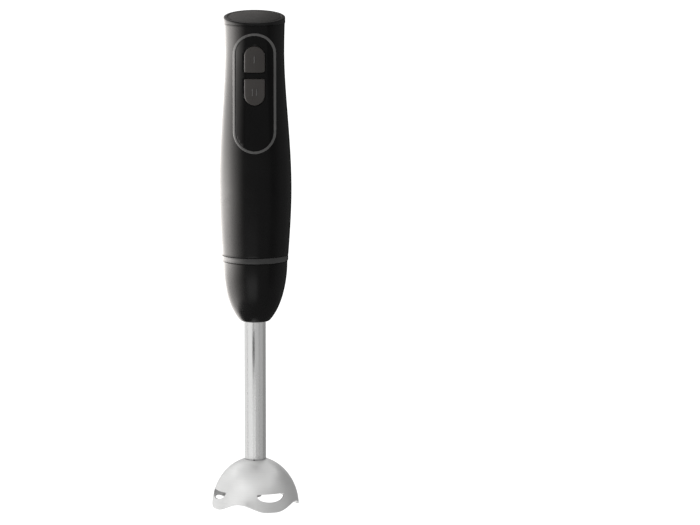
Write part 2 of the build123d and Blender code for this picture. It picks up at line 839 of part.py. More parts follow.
with BuildSketch(Plane.XY.offset(core_bottom_z)) as slot_fill:
    with PolarLocations(slot_middle, core_slots):
        Rectangle(core_slot_depth, core_slot_width)
    Circle(core_radius - winding_recess, mode=Mode.INTERSECT)

with BuildPart() as armature_windings:
    extrude(slot_fill.sketch, amount=core_length)
    for bottom in (core_bottom_z - winding_height, core_top_z):
        extrude(ring_at(bottom, winding_inner_radius, core_radius - winding_end_recess),
                amount=winding_height)
    end_rims = armature_windings.edges().filter_by(GeomType.CIRCLE).group_by(Axis.Z)
    fillet([rims.sort_by(SortBy.RADIUS)[-1] for rims in (end_rims[0], end_rims[-1])], winding_rounding)
save(armature_windings, "armature_windings")

with BuildPart() as commutator:
    extrude(ring_at(commutator_z, motor_shaft_radius, commutator_radius), amount=commutator_height)
    extrude(ring_at(core_top_z, motor_shaft_radius, winding_inner_radius),
            amount=commutator_z - core_top_z)
save(commutator, "commutator")

motor_shaft_bottom_z = plug_top_z - coupling_engagement - motor_shaft_tail
with BuildPart() as motor_shaft:
    extrude(ring_at(motor_shaft_bottom_z, 0, motor_shaft_radius),
            amount=end_cap_top_z + motor_shaft_tip - motor_shaft_bottom_z)
    chamfer(motor_shaft.edges().filter_by(GeomType.CIRCLE), motor_shaft_chamfer)
save(motor_shaft, "motor_shaft")

fan_radius = post_ring_radius - cage_post_radius - fan_clearance
fan_z = cage_bottom_z + cage_plate + fan_clearance_below
with BuildPart() as cooling_fan:
    extrude(ring_at(fan_z, motor_shaft_radius, fan_radius), amount=fan_plate)
    extrude(ring_at(fan_z, motor_shaft_radius, motor_shaft_radius + fan_hub_wall), amount=fan_height)
    with BuildSketch(Plane.XY.offset(fan_z)):
        with PolarLocations((fan_radius + motor_shaft_radius) / 2, fan_blades):
            Rectangle(fan_radius - motor_shaft_radius - fan_plate, fan_plate)
    extrude(amount=fan_height)
save(cooling_fan, "cooling_fan")

# ---- drive couplings ------------------------------------------------------------------------
cup_top_z = plug_top_z - coupling_drop
cup_bottom_z = cup_top_z - coupling_depth
male_bottom_z = cup_top_z - coupling_engagement
with BuildPart() as motor_coupling:
    extrude(star(male_bottom_z, coupling_core_radius, coupling_tooth_reach, coupling_tooth_width),
            amount=coupling_engagement + coupling_end_gap)
    extrude(ring_at(cup_top_z + coupling_end_gap, 0, coupling_boss_radius),
            amount=coupling_hub_height)
    extrude(ring_at(motor_shaft_bottom_z, 0, motor_shaft_radius),
            amount=coupling_depth + coupling_bore_margin, mode=Mode.SUBTRACT)
save(motor_coupling, "motor_coupling")

coupling_radius = coupling_core_radius + coupling_tooth_reach + coupling_play + coupling_wall
drive_shaft_top_z = cup_bottom_z
with BuildPart() as shaft_coupling:
    extrude(ring_at(cup_bottom_z - coupling_boss_height, drive_shaft_radius, coupling_boss_radius),
            amount=coupling_boss_height)
    extrude(ring_at(cup_bottom_z, 0, coupling_radius), amount=coupling_depth)
    extrude(star(male_bottom_z - coupling_end_gap, coupling_core_radius + coupling_play, coupling_tooth_reach,
                 coupling_tooth_width + 2 * coupling_play), amount=coupling_depth, mode=Mode.SUBTRACT)
    cup_rim = shaft_coupling.edges().filter_by(GeomType.CIRCLE).sort_by(SortBy.RADIUS)[-2:]
    chamfer(cup_rim, coupling_chamfer)
save(shaft_coupling, "shaft_coupling")

# ---- leg, upper end -------------------------------------------------------------------------
flange_radius = nose_top_radius - nose_wall + adaptor_flange_seat
post_circle_radius = flange_radius - adaptor_post_radius - 0.6
with BuildSketch(Plane.XZ) as nose_section:
    with Locations((0, ring_bottom_z)):
        Ellipse(nose_top_radius, nose_curve_height)
    with Locations((0, (nose_bottom_z + nose_top_z) / 2)):
        Rectangle(2 * nose_top_radius, nose_top_z - nose_bottom_z, mode=Mode.INTERSECT)
    with Locations((-nose_top_radius, nose_bottom_z)):
        Rectangle(2 * nose_top_radius, 2 * nose_length, mode=Mode.SUBTRACT)
with BuildSketch(Plane.XZ) as nose_cavity:
    with Locations((0, ring_bottom_z)):
        Ellipse(nose_top_radius - nose_wall, nose_curve_height - nose_wall)
    with Locations((nose_top_radius, nose_bottom_z + nose_floor + nose_length)):
        Rectangle(2 * nose_top_radius, 2 * nose_length, mode=Mode.INTERSECT)

with BuildPart() as nose_posts:
    with BuildSketch(Plane.XY.offset(adaptor_flange_z)):
        with PolarLocations(post_circle_radius, adaptor_screw_count, start_angle=30):
            Circle(adaptor_post_radius)
    extrude(amount=-adaptor_post_depth)
    revolve(nose_section.sketch, axis=Axis.Z, mode=Mode.INTERSECT)

with BuildPart() as leg_cone:
    revolve(nose_section.sketch, axis=Axis.Z)
    bottom_rim = leg_cone.edges().filter_by(GeomType.CIRCLE).group_by(Axis.Z)[0]
    fillet(bottom_rim, nose_rounding)
    revolve(nose_cavity.sketch, axis=Axis.Z, mode=Mode.SUBTRACT)
    add(nose_posts.part)
    extrude(ring_at(adaptor_flange_z, 0, flange_radius), amount=far, mode=Mode.SUBTRACT)
    extrude(ring_at(nose_bottom_z, 0, tube_radius), amount=far, mode=Mode.SUBTRACT)
    with BuildSketch(Plane.XY.offset(adaptor_flange_z)):
        with PolarLocations(post_circle_radius, adaptor_screw_count, start_angle=30):
            Circle(adaptor_screw_radius)
    extrude(amount=-adaptor_screw_length, mode=Mode.SUBTRACT)
save(leg_cone, "leg_cone")

sleeve_radius = tube_radius + adaptor_sleeve_wall
adaptor_floor_z = tube_top_z + adaptor_floor
plug_inner_radius = plug_radius - plug_wall
o_ring_z = plug_top_z - o_ring_drop
o_ring_circle = plug_radius + plug_fit - 0.05 - o_ring_radius
with BuildPart() as leg_adaptor:
    extrude(ring_at(tube_top_z - adaptor_sleeve_length, tube_radius, sleeve_radius),
            amount=adaptor_sleeve_length)
    extrude(ring_at(tube_top_z, shaft_hole_radius, plug_radius), amount=adaptor_floor)
    extrude(ring_at(adaptor_floor_z, plug_inner_radius, plug_radius), amount=plug_top_z - adaptor_floor_z)
    extrude(ring_at(adaptor_flange_z, plug_inner_radius, flange_radius), amount=adaptor_flange)
    for index in range(lug_count):
        extrude(ring_arc(leg_lug_z, plug_radius - 0.5, plug_radius + lug_reach, lug_angle,
                         index * 360 / lug_count), amount=lug_height)
    with BuildSketch(Plane.XY.offset(o_ring_z - o_ring_radius)):
        Circle(plug_radius)
        Circle(o_ring_circle - o_ring_radius, mode=Mode.SUBTRACT)
    extrude(amount=2 * o_ring_radius, mode=Mode.SUBTRACT)
    with BuildSketch(Plane.XY.offset(nose_top_z)):
        with PolarLocations(post_circle_radius, adaptor_screw_count, start_angle=30):
            Circle(adaptor_screw_radius)
    extrude(amount=-adaptor_flange, mode=Mode.SUBTRACT)
    with BuildSketch(Plane.XY.offset(nose_top_z)):
        with PolarLocations(post_circle_radius, adaptor_screw_count, start_angle=30):
            Circle(adaptor_screw_head_radius)
    extrude(amount=-adaptor_flange / 2, mode=Mode.SUBTRACT)
save(leg_adaptor, "leg_adaptor")

with BuildPart() as adaptor_screws:
    with BuildSketch(Plane.XY.offset(nose_top_z - adaptor_flange / 2)):
        with PolarLocations(post_circle_radius, adaptor_screw_count, start_angle=30):
            Circle(adaptor_screw_head_radius)
    extrude(amount=adaptor_flange / 2 - 0.2)
    with BuildSketch(Plane.XY.offset(nose_top_z - adaptor_flange / 2)):
        with PolarLocations(post_circle_radius, adaptor_screw_count, start_angle=30):
            Circle(adaptor_screw_radius)
    extrude(amount=-adaptor_screw_length)
save(adaptor_screws, "adaptor_screws")

with BuildPart() as plug_o_ring:
    with BuildSketch(Plane.XZ):
        with Locations((o_ring_circle, o_ring_z)):
            Circle(o_ring_radius)
    revolve(axis=Axis.Z)
save(plug_o_ring, "plug_o_ring")

# ---- leg, tube and its bushes ---------------------------------------------------------------
tube_inner_radius = tube_radius - tube_wall
with BuildPart() as shaft_tube:
    extrude(ring_at(tube_bottom_z, tube_inner_radius, tube_radius), amount=tube_top_z - tube_bottom_z)
save(shaft_tube, "shaft_tube")

bush_bore_radius = drive_shaft_radius + bush_running_fit
with BuildPart() as bush_carrier:
    extrude(ring_at(tube_top_z - carrier_length, bush_radius, tube_inner_radius), amount=carrier_length)
save(bush_carrier, "bush_carrier")

with BuildPart() as upper_bush:
    extrude(ring_at(tube_top_z - upper_bush_length, bush_bore_radius, bush_radius),
            amount=upper_bush_length)
save(upper_bush, "upper_bush")

with BuildPart() as tube_spacer:
    spacer_z = nose_bottom_z - tube_exposed / 2
    extrude(ring_at(spacer_z, drive_shaft_radius + 0.5, tube_inner_radius), amount=spacer_length)
save(tube_spacer, "tube_spacer")

# ---- blade guard ----------------------------------------------------------------------------
valley_angle = 360 / lobe_count
foot_half_angle = degrees(lobe_foot_width / 2 / guard_radius)
valley_half_width = guard_radius * sin(radians(valley_angle / 2 - foot_half_angle))
slot_half_width = guard_radius * sin(radians(slot_angle / 2))
first_lobe = -90 + lobe_turn
dome_turns = [0, 22.5, 45, 67.5, 90]


def dome_section(radius, height):
    """Half of a solid dome's section: a quarter of an ellipse standing on the floor."""
    with BuildSketch(Plane.XZ) as quarter:
        with BuildLine():
            crown = Spline(
                [(radius * cos(radians(turn)), height * sin(radians(turn))) for turn in dome_turns],
                tangents=[(0, 1), (-1, 0)],
            )
            Polyline(crown @ 1, (0, 0), crown @ 0)
        make_face()
    return quarter.sketch


with BuildPart() as blade_guard:
    revolve(dome_section(guard_radius, guard_height), axis=Axis.Z)
    revolve(dome_section(guard_radius - guard_wall, guard_height - guard_wall), axis=Axis.Z,
            mode=Mode.SUBTRACT)
    extrude(ring_at(0, 0, tube_radius), amount=2 * guard_height, mode=Mode.SUBTRACT)
    for index in range(lobe_count):
        lobe_direction = first_lobe + index * valley_angle
        valley_direction = lobe_direction + valley_angle / 2
        with BuildSketch(Plane.XZ.rotated((0, 0, valley_direction + 90))):
            with BuildLine():
                Spline((-valley_half_width, 0), (0, valley_height), (valley_half_width, 0),
                       tangents=[(1, 0.25), (1, -0.25)], tangent_scalars=[0.9, 0.9])
                Line((valley_half_width, 0), (-valley_half_width, 0))
            make_face()
        extrude(amount=2 * guard_radius, mode=Mode.SUBTRACT)
        with BuildSketch(Plane.XZ.rotated((0, 0, lobe_direction + 90))) as slot_sketch:
            with BuildLine():
                shoulder_z = slot_top - slot_shoulder
                Polyline((-slot_half_width, shoulder_z), (-slot_half_width, slot_top),
                         (slot_half_width, slot_top), (slot_half_width, shoulder_z))
                ThreePointArc((slot_half_width, shoulder_z), (0, slot_bottom),
                              (-slot_half_width, shoulder_z))
            make_face()
            fillet(slot_sketch.vertices().group_by(Axis.Y)[-1], slot_corner)
        extrude(amount=2 * guard_radius, mode=Mode.SUBTRACT)
save(blade_guard, "blade_guard")

# ---- hub under the dome, with its bush and seal ---------------------------------------------
with BuildPart() as guard_hub:
    extrude(ring_at(hub_bottom, bush_radius, hub_radius), amount=hub_flange_height)
    fillet(guard_hub.edges().filter_by(GeomType.CIRCLE).group_by(Axis.Z)[0].sort_by(SortBy.RADIUS)[-1], 1.5)
    extrude(ring_at(tube_bottom_z, bush_radius, tube_inner_radius), amount=hub_plug_length)
    extrude(ring_at(hub_bottom, 0, seal_radius), amount=seal_height + 0.3, mode=Mode.SUBTRACT)
save(guard_hub, "guard_hub")

seal_top_z = hub_bottom + seal_height + 0.3
with BuildPart() as lower_bush:
    extrude(ring_at(seal_top_z, bush_bore_radius, bush_radius),
            amount=tube_bottom_z + hub_plug_length - 2 - seal_top_z)
save(lower_bush, "lower_bush")

with BuildPart() as shaft_seal:
    extrude(ring_at(seal_top_z - seal_height, drive_shaft_radius + 2 * bush_running_fit, seal_radius),
            amount=seal_height)
save(shaft_seal, "shaft_seal")

# ---- drive shaft and blade ------------------------------------------------------------------
blade_top = blade_height + blade_thickness
washer_top = hub_bottom - washer_gap
nut_bottom = blade_height - nut_height
with BuildPart() as drive_shaft:
    extrude(ring_at(nut_bottom - 0.8, 0, drive_shaft_radius), amount=drive_shaft_top_z - nut_bottom + 0.8)
    chamfer(drive_shaft.edges().filter_by(GeomType.CIRCLE), 0.4)
save(drive_shaft, "drive_shaft")

with BuildPart() as shaft_clip:
    extrude(ring_arc(tube_top_z + 0.8, drive_shaft_radius, clip_radius, 290, 90), amount=1.0)
save(shaft_clip, "shaft_clip")

with BuildPart() as thrust_washer:
    extrude(ring_at(washer_top - washer_thickness, drive_shaft_radius, blade_hub_radius + 0.6),
            amount=washer_thickness)
save(thrust_washer, "thrust_washer")

with BuildPart() as blade_hub:
    extrude(ring_at(blade_top, drive_shaft_radius, blade_hub_radius),
            amount=washer_top - washer_thickness - blade_top)
save(blade_hub, "blade_hub")

tip_width = blade_width / 3
with BuildSketch(Plane.XY) as blade_outline:
    with BuildLine():
        for side in (1, -1):
            Line((side * blade_hub_radius, -side * blade_width / 2),
                 (side * blade_radius, -side * tip_width / 2))
            ThreePointArc((side * blade_radius, -side * tip_width / 2),
                          (side * (blade_radius - 0.8), side * tip_width),
                          (side * (blade_radius - 3.5), side * 1.5 * tip_width))
            Spline((side * (blade_radius - 3.5), side * 1.5 * tip_width),
                   (side * blade_radius / 2, side * tip_width),
                   (side * blade_hub_radius, side * blade_width / 2),
                   (-side * blade_hub_radius, side * blade_width / 2))
    make_face()

with BuildPart() as blade:
    with BuildSketch(Plane.XZ.offset(-blade_width)):
        with BuildLine():
            Polyline(
                (-blade_radius - 1, blade_height - blade_tip_fall),
                (-blade_bend_radius, blade_height),
                (blade_bend_radius, blade_height),
                (blade_radius + 1, blade_height + blade_tip_rise),
                (blade_radius + 1, blade_height + blade_tip_rise + blade_thickness),
                (blade_bend_radius, blade_top),
                (-blade_bend_radius, blade_top),
                (-blade_radius - 1, blade_height - blade_tip_fall + blade_thickness),
                (-blade_radius - 1, blade_height - blade_tip_fall),
            )
        make_face()
    extrude(amount=2 * blade_width)
    extrude(blade_outline.sketch, amount=2 * guard_height, mode=Mode.INTERSECT)
    extrude(ring_at(0, 0, drive_shaft_radius), amount=guard_height, mode=Mode.SUBTRACT)
save(blade, "blade")

with BuildPart() as blade_nut:
    with BuildSketch(Plane.XY.offset(nut_bottom)):
        RegularPolygon(nut_across_flats / 2, 6, major_radius=False)
        Circle(drive_shaft_radius, mode=Mode.SUBTRACT)
    extrude(amount=nut_height)
save(blade_nut, "blade_nut")
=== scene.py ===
"""Looks of an immersion blender: its visible shells, metalwork, controls, finishes and studio.

Metres, +Z up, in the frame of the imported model. The blender stands on its guard and faces -Y.
"""
import json
import logging
from dataclasses import dataclass, field
from enum import Enum
from math import asin, atan2, ceil, cos, degrees, floor, hypot, pi, radians, sin, sqrt
from typing import Callable

import bmesh
import bpy
from mathutils import Matrix, Vector


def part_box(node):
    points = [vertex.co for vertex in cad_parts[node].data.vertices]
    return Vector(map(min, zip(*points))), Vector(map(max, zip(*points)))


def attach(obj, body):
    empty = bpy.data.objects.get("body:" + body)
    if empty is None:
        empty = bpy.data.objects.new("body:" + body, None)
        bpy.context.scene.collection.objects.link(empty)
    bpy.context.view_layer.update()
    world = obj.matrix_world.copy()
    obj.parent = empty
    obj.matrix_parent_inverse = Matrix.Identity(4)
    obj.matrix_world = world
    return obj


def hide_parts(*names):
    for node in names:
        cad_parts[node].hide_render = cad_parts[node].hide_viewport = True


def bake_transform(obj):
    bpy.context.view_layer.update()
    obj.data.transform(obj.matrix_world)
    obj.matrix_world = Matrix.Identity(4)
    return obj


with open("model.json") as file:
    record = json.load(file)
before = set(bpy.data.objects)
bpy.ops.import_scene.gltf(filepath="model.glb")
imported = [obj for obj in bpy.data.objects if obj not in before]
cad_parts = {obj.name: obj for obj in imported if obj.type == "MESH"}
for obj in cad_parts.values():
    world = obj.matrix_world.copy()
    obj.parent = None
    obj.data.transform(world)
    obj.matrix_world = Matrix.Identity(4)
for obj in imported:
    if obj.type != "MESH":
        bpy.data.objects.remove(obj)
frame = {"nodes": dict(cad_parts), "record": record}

logging.basicConfig(level=logging.INFO, format="%(message)s")
log = logging.getLogger("blender_looks")

MM = 0.001
ON_PLANE = 1e-5
WELD = 1e-6
CUT = 1e-7
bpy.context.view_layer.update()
Colour = tuple[float, float, float]
Pairs = list[tuple[float, float]]
Node = bpy.types.Node
Piece = bpy.types.Object
Mesh = bmesh.types.BMesh
Face = bmesh.types.BMFace
Edge = bmesh.types.BMEdge
Vert = bmesh.types.BMVert


class Slot(Enum):
    """The record's material slots, each with one finish."""

    BODY = "body_plastic"
    CAP = "cap_plastic"
    PANEL = "panel_gloss"
    TRIM = "trim_plastic"
    BUTTON = "button_plastic"
    RING = "ring_plastic"
    TUBE = "steel_polished"
    GUARD = "steel_brushed"
    BLADE = "blade_steel"
    PLAIN_STEEL = "steel_dark"
    INNER = "inner_plastic"
    WHITE = "white_plastic"
    RUBBER = "seal_rubber"
    BRONZE = "bronze"
    COPPER = "copper"
    MAGNET = "magnet_dark"
    BOARD = "board_green"
    COMPONENT = "component_blue"


class Brushing(Enum):
    """Which way a metal's fine grinding lines run: their fineness along X, Y and Z."""

    AROUND = (22.0, 22.0, 5200.0)
    ALONG = (1500.0, 1500.0, 12.0)
    NONE = (300.0, 300.0, 300.0)


# ---- finishes -------------------------------------------------------------------------------
def shaded(colour: Colour, share: float) -> Colour:
    """A colour made lighter or darker, up to white."""
    return tuple(min(1.0, channel * share) for channel in colour)


class NodeSheet:
    """A material's node tree with short ways to add and join nodes."""

    noise_middle = (0.3, 0.7)
    ramp_ends = (0.25, 0.75)

    def __init__(self, name: str) -> None:
        """Start an empty material.

        Args:
            name: the material's name.
        """
        self.material = bpy.data.materials.new(name)
        self.material.use_nodes = True
        self.tree = self.material.node_tree
        self.tree.nodes.clear()
        self.shader = self.add("ShaderNodeBsdfPrincipled")
        output = self.add("ShaderNodeOutputMaterial")
        self.join(self.shader, "BSDF", output, "Surface")
        self.place = self.add("ShaderNodeTexCoord")

    def add(self, kind: str, **settings: object) -> Node:
        """Add one node.

        Args:
            kind: the node's type name.
            settings: properties to set on it.

        Returns:
            The new node.
        """
        node = self.tree.nodes.new(kind)
        for key, value in settings.items():
            setattr(node, key, value)
        return node

    def join(self, source: Node, out: str, target: Node, into: str) -> None:
        """Link an output socket to an input socket."""
        self.tree.links.new(source.outputs[out], target.inputs[into])

    def stretched(self, scale: tuple[float, float, float]) -> Node:
        """Object coordinates, scaled by axis.

        Args:
            scale: how finely the pattern repeats along X, Y and Z.

        Returns:
            A Mapping node.
        """
        mapping = self.add("ShaderNodeMapping")
        mapping.inputs["Scale"].default_value = scale
        self.join(self.place, "Object", mapping, "Vector")
        return mapping

    def noise(self, scale: float, detail: float = 4.0, coordinates: Node | None = None,
              distortion: float = 0.0) -> Node:
        """A noise pattern over the piece.

        Args:
            scale: the pattern's fineness, per metre.
            detail: octaves of finer noise.
            coordinates: a Mapping node, or None for plain object coordinates.
            distortion: how much the pattern swirls.

        Returns:
            The noise node.
        """
        node = self.add("ShaderNodeTexNoise")
        node.inputs["Scale"].default_value = scale
        node.inputs["Detail"].default_value = detail
        node.inputs["Distortion"].default_value = distortion
        if coordinates is None:
            self.join(self.place, "Object", node, "Vector")
        else:
            self.join(coordinates, "Vector", node, "Vector")
        return node

    def tint_by(self, pattern: Node, first: Colour, second: Colour) -> None:
        """Colour the surface by a pattern.

        Args:
            pattern: a node with a Fac output.
            first: the colour where the pattern is low.
            second: the colour where the pattern is high.
        """
        ramp = self.add("ShaderNodeValToRGB")
        ends = zip(ramp.color_ramp.elements, (first, second), self.ramp_ends)
        for element, colour, position in list(ends):
            element.color = (*colour, 1.0)
            element.position = position
        self.join(pattern, "Fac", ramp, "Fac")
        self.join(ramp, "Color", self.shader, "Base Color")

    def gloss_by(self, pattern: Node, gloss: float, spread: float) -> None:
        """Vary the surface's roughness by a pattern.

        Args:
            pattern: a node with a Fac output.
            gloss: the middle roughness.
            spread: how far it goes to each side.
        """
        node = self.add("ShaderNodeMapRange")
        lowest, highest = self.noise_middle
        node.inputs["From Min"].default_value = lowest
        node.inputs["From Max"].default_value = highest
        node.inputs["To Min"].default_value = gloss - spread
        node.inputs["To Max"].default_value = gloss + spread
        self.join(pattern, "Fac", node, "Value")
        self.join(node, "Result", self.shader, "Roughness")

    def relief_by(self, *layers: tuple[Node, float, float]) -> None:
        """Give the surface a relief.

        Args:
            layers: (pattern, depth in metres, strength from 0 to 1) of each, the coarsest first.
        """
        below = None
        for pattern, depth, strength in layers:
            node = self.add("ShaderNodeBump")
            node.inputs["Distance"].default_value = depth
            node.inputs["Strength"].default_value = strength
            self.join(pattern, "Fac", node, "Height")
            if below is not None:
                self.join(below, "Normal", node, "Normal")
            below = node
        self.join(below, "Normal", self.shader, "Normal")


@dataclass(frozen=True)
class Plastic:
    """Injection-moulded plastic with a faint skin texture, uneven gloss and handling marks."""

    name: str
    colour: Colour
    gloss: float = 0.3
    gloss_spread: float = 0.06
    grain: float = 2600.0
    grain_depth: float = 0.01 * MM
    grain_strength: float = 0.25
    specular: float = 0.5
    tint: float = 0.12
    cloud: float = 38.0
    smudge: float = 90.0
    flow: float = 55.0
    flow_depth: float = 0.06 * MM
    flow_strength: float = 0.08

    def build(self) -> bpy.types.Material:
        """Make the material.

        Returns:
            The material.
        """
        sheet = NodeSheet(self.name)
        clouds = sheet.noise(self.cloud, 5.0, distortion=0.4)
        sheet.tint_by(clouds, shaded(self.colour, 1 - self.tint),
                      shaded(self.colour, 1 + self.tint))
        sheet.gloss_by(sheet.noise(self.smudge, 6.0, distortion=1.2), self.gloss, self.gloss_spread)
        skin, flow = sheet.noise(self.grain, 3.0), sheet.noise(self.flow, 2.0)
        sheet.relief_by((flow, self.flow_depth, self.flow_strength),
                        (skin, self.grain_depth, self.grain_strength))
        sheet.shader.inputs["Specular IOR Level"].default_value = self.specular
        return sheet.material


@dataclass(frozen=True)
class Steel:
    """Ground or polished metal with fine lines, faint stains and a soft, directional gloss."""

    name: str
    colour: Colour
    gloss: float = 0.3
    gloss_spread: float = 0.07
    brushing: Brushing = Brushing.AROUND
    line_depth: float = 0.01 * MM
    line_strength: float = 0.2
    stain: float = 60.0
    dent: float = 45.0
    dent_depth: float = 0.04 * MM
    dent_strength: float = 0.05

    def build(self) -> bpy.types.Material:
        """Make the material.

        Returns:
            The material.
        """
        sheet = NodeSheet(self.name)
        lines = sheet.noise(1.0, 6.0, sheet.stretched(self.brushing.value))
        sheet.tint_by(lines, shaded(self.colour, 0.95), shaded(self.colour, 1.03))
        sheet.gloss_by(sheet.noise(self.stain, 5.0, distortion=0.8), self.gloss, self.gloss_spread)
        sheet.relief_by((sheet.noise(self.dent, 2.0), self.dent_depth, self.dent_strength),
                        (lines, self.line_depth, self.line_strength))
        sheet.shader.inputs["Metallic"].default_value = 1.0
        return sheet.material


@dataclass(frozen=True)
class Pitted:
    """A dull, granular material: sintered metal, ferrite or rubber."""

    name: str
    colour: Colour
    gloss: float = 0.6
    metallic: float = 0.0
    grain: float = 1800.0
    depth: float = 0.03 * MM

    def build(self) -> bpy.types.Material:
        """Make the material.

        Returns:
            The material.
        """
        sheet = NodeSheet(self.name)
        grains = sheet.noise(self.grain, 5.0)
        sheet.tint_by(grains, shaded(self.colour, 0.7), self.colour)
        sheet.gloss_by(grains, self.gloss, 0.1)
        sheet.relief_by((grains, self.depth, 0.5))
        sheet.shader.inputs["Metallic"].default_value = self.metallic
        return sheet.material


@dataclass(frozen=True)
class Windings:
    """Enamelled copper wire, laid in close turns."""

    name: str
    colour: Colour
    pitch: float = 0.6 * MM

    def build(self) -> bpy.types.Material:
        """Make the material.

        Returns:
            The material.
        """
        sheet = NodeSheet(self.name)
        turns = sheet.add("ShaderNodeTexWave", bands_direction="DIAGONAL")
        turns.inputs["Scale"].default_value = 0.3 / self.pitch
        turns.inputs["Distortion"].default_value = 1.5
        sheet.join(sheet.place, "Object", turns, "Vector")
        sheet.tint_by(turns, shaded(self.colour, 0.45), self.colour)
        sheet.relief_by((turns, self.pitch / 3, 0.8))
        sheet.gloss_by(sheet.noise(400.0), 0.35, 0.1)
        sheet.shader.inputs["Metallic"].default_value = 0.8
        return sheet.material


@dataclass(frozen=True)
class Laminate:
    """A printed circuit board: lacquered laminate with copper tracks under it."""

    name: str
    colour: Colour
    track_depth: float = 0.03 * MM

    def build(self) -> bpy.types.Material:
        """Make the material.

        Returns:
            The material.
        """
        sheet = NodeSheet(self.name)
        tracks = sheet.add("ShaderNodeTexBrick")
        tracks.inputs["Scale"].default_value = 180.0
        tracks.inputs["Mortar Size"].default_value = 0.03
        for part, share in (("Color1", 1.0), ("Color2", 0.8), ("Mortar", 1.8)):
            tracks.inputs[part].default_value = (*shaded(self.colour, share), 1.0)
        turned = sheet.stretched((1.0, 1.0, 1.0))
        turned.inputs["Rotation"].default_value = (radians(90), 0.0, 0.0)
        sheet.join(turned, "Vector", tracks, "Vector")
        sheet.join(tracks, "Color", sheet.shader, "Base Color")
        sheet.gloss_by(sheet.noise(300.0), 0.325, 0.075)
        sheet.relief_by((tracks, self.track_depth, 0.4))
        return sheet.material


RECIPES = {
    Slot.BODY: Plastic("satin_black", (0.0042, 0.0041, 0.0041), gloss=0.25, gloss_spread=0.03,
                       specular=0.45, grain_strength=0.1),
    Slot.CAP: Plastic("glossy_charcoal", (0.008, 0.008, 0.008), gloss=0.2, grain_strength=0.12),
    Slot.PANEL: Plastic("gloss_black", (0.004, 0.004, 0.004), gloss=0.15, gloss_spread=0.03,
                        specular=0.45, grain_strength=0.04),
    Slot.TRIM: Plastic("satin_graphite", (0.06, 0.059, 0.058), specular=0.7),
    Slot.BUTTON: Plastic("satin_warm_grey", (0.034, 0.031, 0.029), gloss=0.32, grain=1900.0,
                         grain_strength=0.3),
    Slot.RING: Plastic("satin_grey", (0.028, 0.028, 0.028), gloss=0.32, specular=0.75,
                       grain_strength=0.2),
    Slot.TUBE: Steel("satin_steel", (0.64, 0.64, 0.635), gloss=0.24, gloss_spread=0.04,
                     line_strength=0.06),
    Slot.GUARD: Steel("brushed_steel", (0.71, 0.71, 0.705), gloss=0.42, line_strength=0.07),
    Slot.BLADE: Steel("ground_steel", (0.62, 0.62, 0.615), gloss=0.25, brushing=Brushing.ALONG),
    Slot.PLAIN_STEEL: Steel("plain_steel", (0.38, 0.38, 0.38), gloss=0.38, brushing=Brushing.NONE),
    Slot.INNER: Plastic("moulded_black", (0.02, 0.02, 0.021), gloss=0.45, grain_strength=0.5),
    Slot.WHITE: Plastic("moulded_white", (0.6, 0.59, 0.56), gloss=0.4, grain_strength=0.4,
                        tint=0.04),
    Slot.RUBBER: Pitted("moulded_rubber", (0.018, 0.018, 0.018), gloss=0.65),
    Slot.BRONZE: Pitted("sintered_bronze", (0.5, 0.32, 0.14), gloss=0.4, metallic=1.0),
    Slot.COPPER: Windings("enamelled_copper", (0.6, 0.25, 0.1)),
    Slot.MAGNET: Pitted("ferrite", (0.05, 0.05, 0.055), gloss=0.55),
    Slot.BOARD: Laminate("circuit_laminate", (0.02, 0.12, 0.05)),
    Slot.COMPONENT: Plastic("component_shell", (0.03, 0.09, 0.32), gloss=0.25, tint=0.06),
}


class Finishes:
    """Every finish on the blender, made once, and the two groups that the lights tell apart."""

    def __init__(self) -> None:
        """Make all the materials."""
        self.by_slot = {slot: recipe.build() for slot, recipe in RECIPES.items()}
        self.metal = bpy.data.collections.new("steel_pieces")
        self.others = bpy.data.collections.new("plastic_pieces")

    def dress(self, piece: Piece, slot: Slot) -> None:
        """Give a piece its finish, and put it in the group of its lights.

        Args:
            piece: the piece.
            slot: its material slot.
        """
        piece.data.materials.clear()
        piece.data.materials.append(self.by_slot[slot])
        group = self.metal if isinstance(RECIPES[slot], Steel) else self.others
        group.objects.link(piece)

    def dress_cad(self) -> None:
        """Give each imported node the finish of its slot."""
        for entry in frame["record"]["subparts"]:
            self.dress(frame["nodes"][entry["node"]], Slot(entry["material_slot"]))
        log.info("dressed %d packed nodes", len(frame["nodes"]))


# ---- shaping tools --------------------------------------------------------------------------
def middle(node: str) -> Vector:
    """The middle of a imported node's box."""
    low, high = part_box(node)
    return (Vector(low) + Vector(high)) / 2


def spans(node: str) -> Vector:
    """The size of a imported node's box."""
    low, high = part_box(node)
    return Vector(high) - Vector(low)


def shift(mesh: Mesh, way: tuple[float, float, float] | Vector) -> None:
    """Move a whole mesh."""
    bmesh.ops.translate(mesh, vec=way, verts=mesh.verts[:])


def swing(mesh: Mesh, turn: float, axis: str = "Z") -> None:
    """Turn a whole mesh about an axis through the origin, by degrees."""
    turning = Matrix.Rotation(radians(turn), 3, axis)
    bmesh.ops.rotate(mesh, cent=(0, 0, 0), matrix=turning, verts=mesh.verts[:])


def face_outwards(mesh: Mesh) -> None:
    """Point a closed mesh's faces outwards."""
    bmesh.ops.recalc_face_normals(mesh, faces=mesh.faces[:])


def circle(side: float, height: float, radius: float, count: int = 32) -> Pairs:
    """Points round a circle.

    Args:
        side: its centre's first coordinate.
        height: its centre's second coordinate.
        radius: its radius.
        count: how many points.

    Returns:
        Both coordinates of each point.
    """
    turns = [2 * pi * step / count for step in range(count)]
    return [(side + radius * cos(turn), height + radius * sin(turn)) for turn in turns]


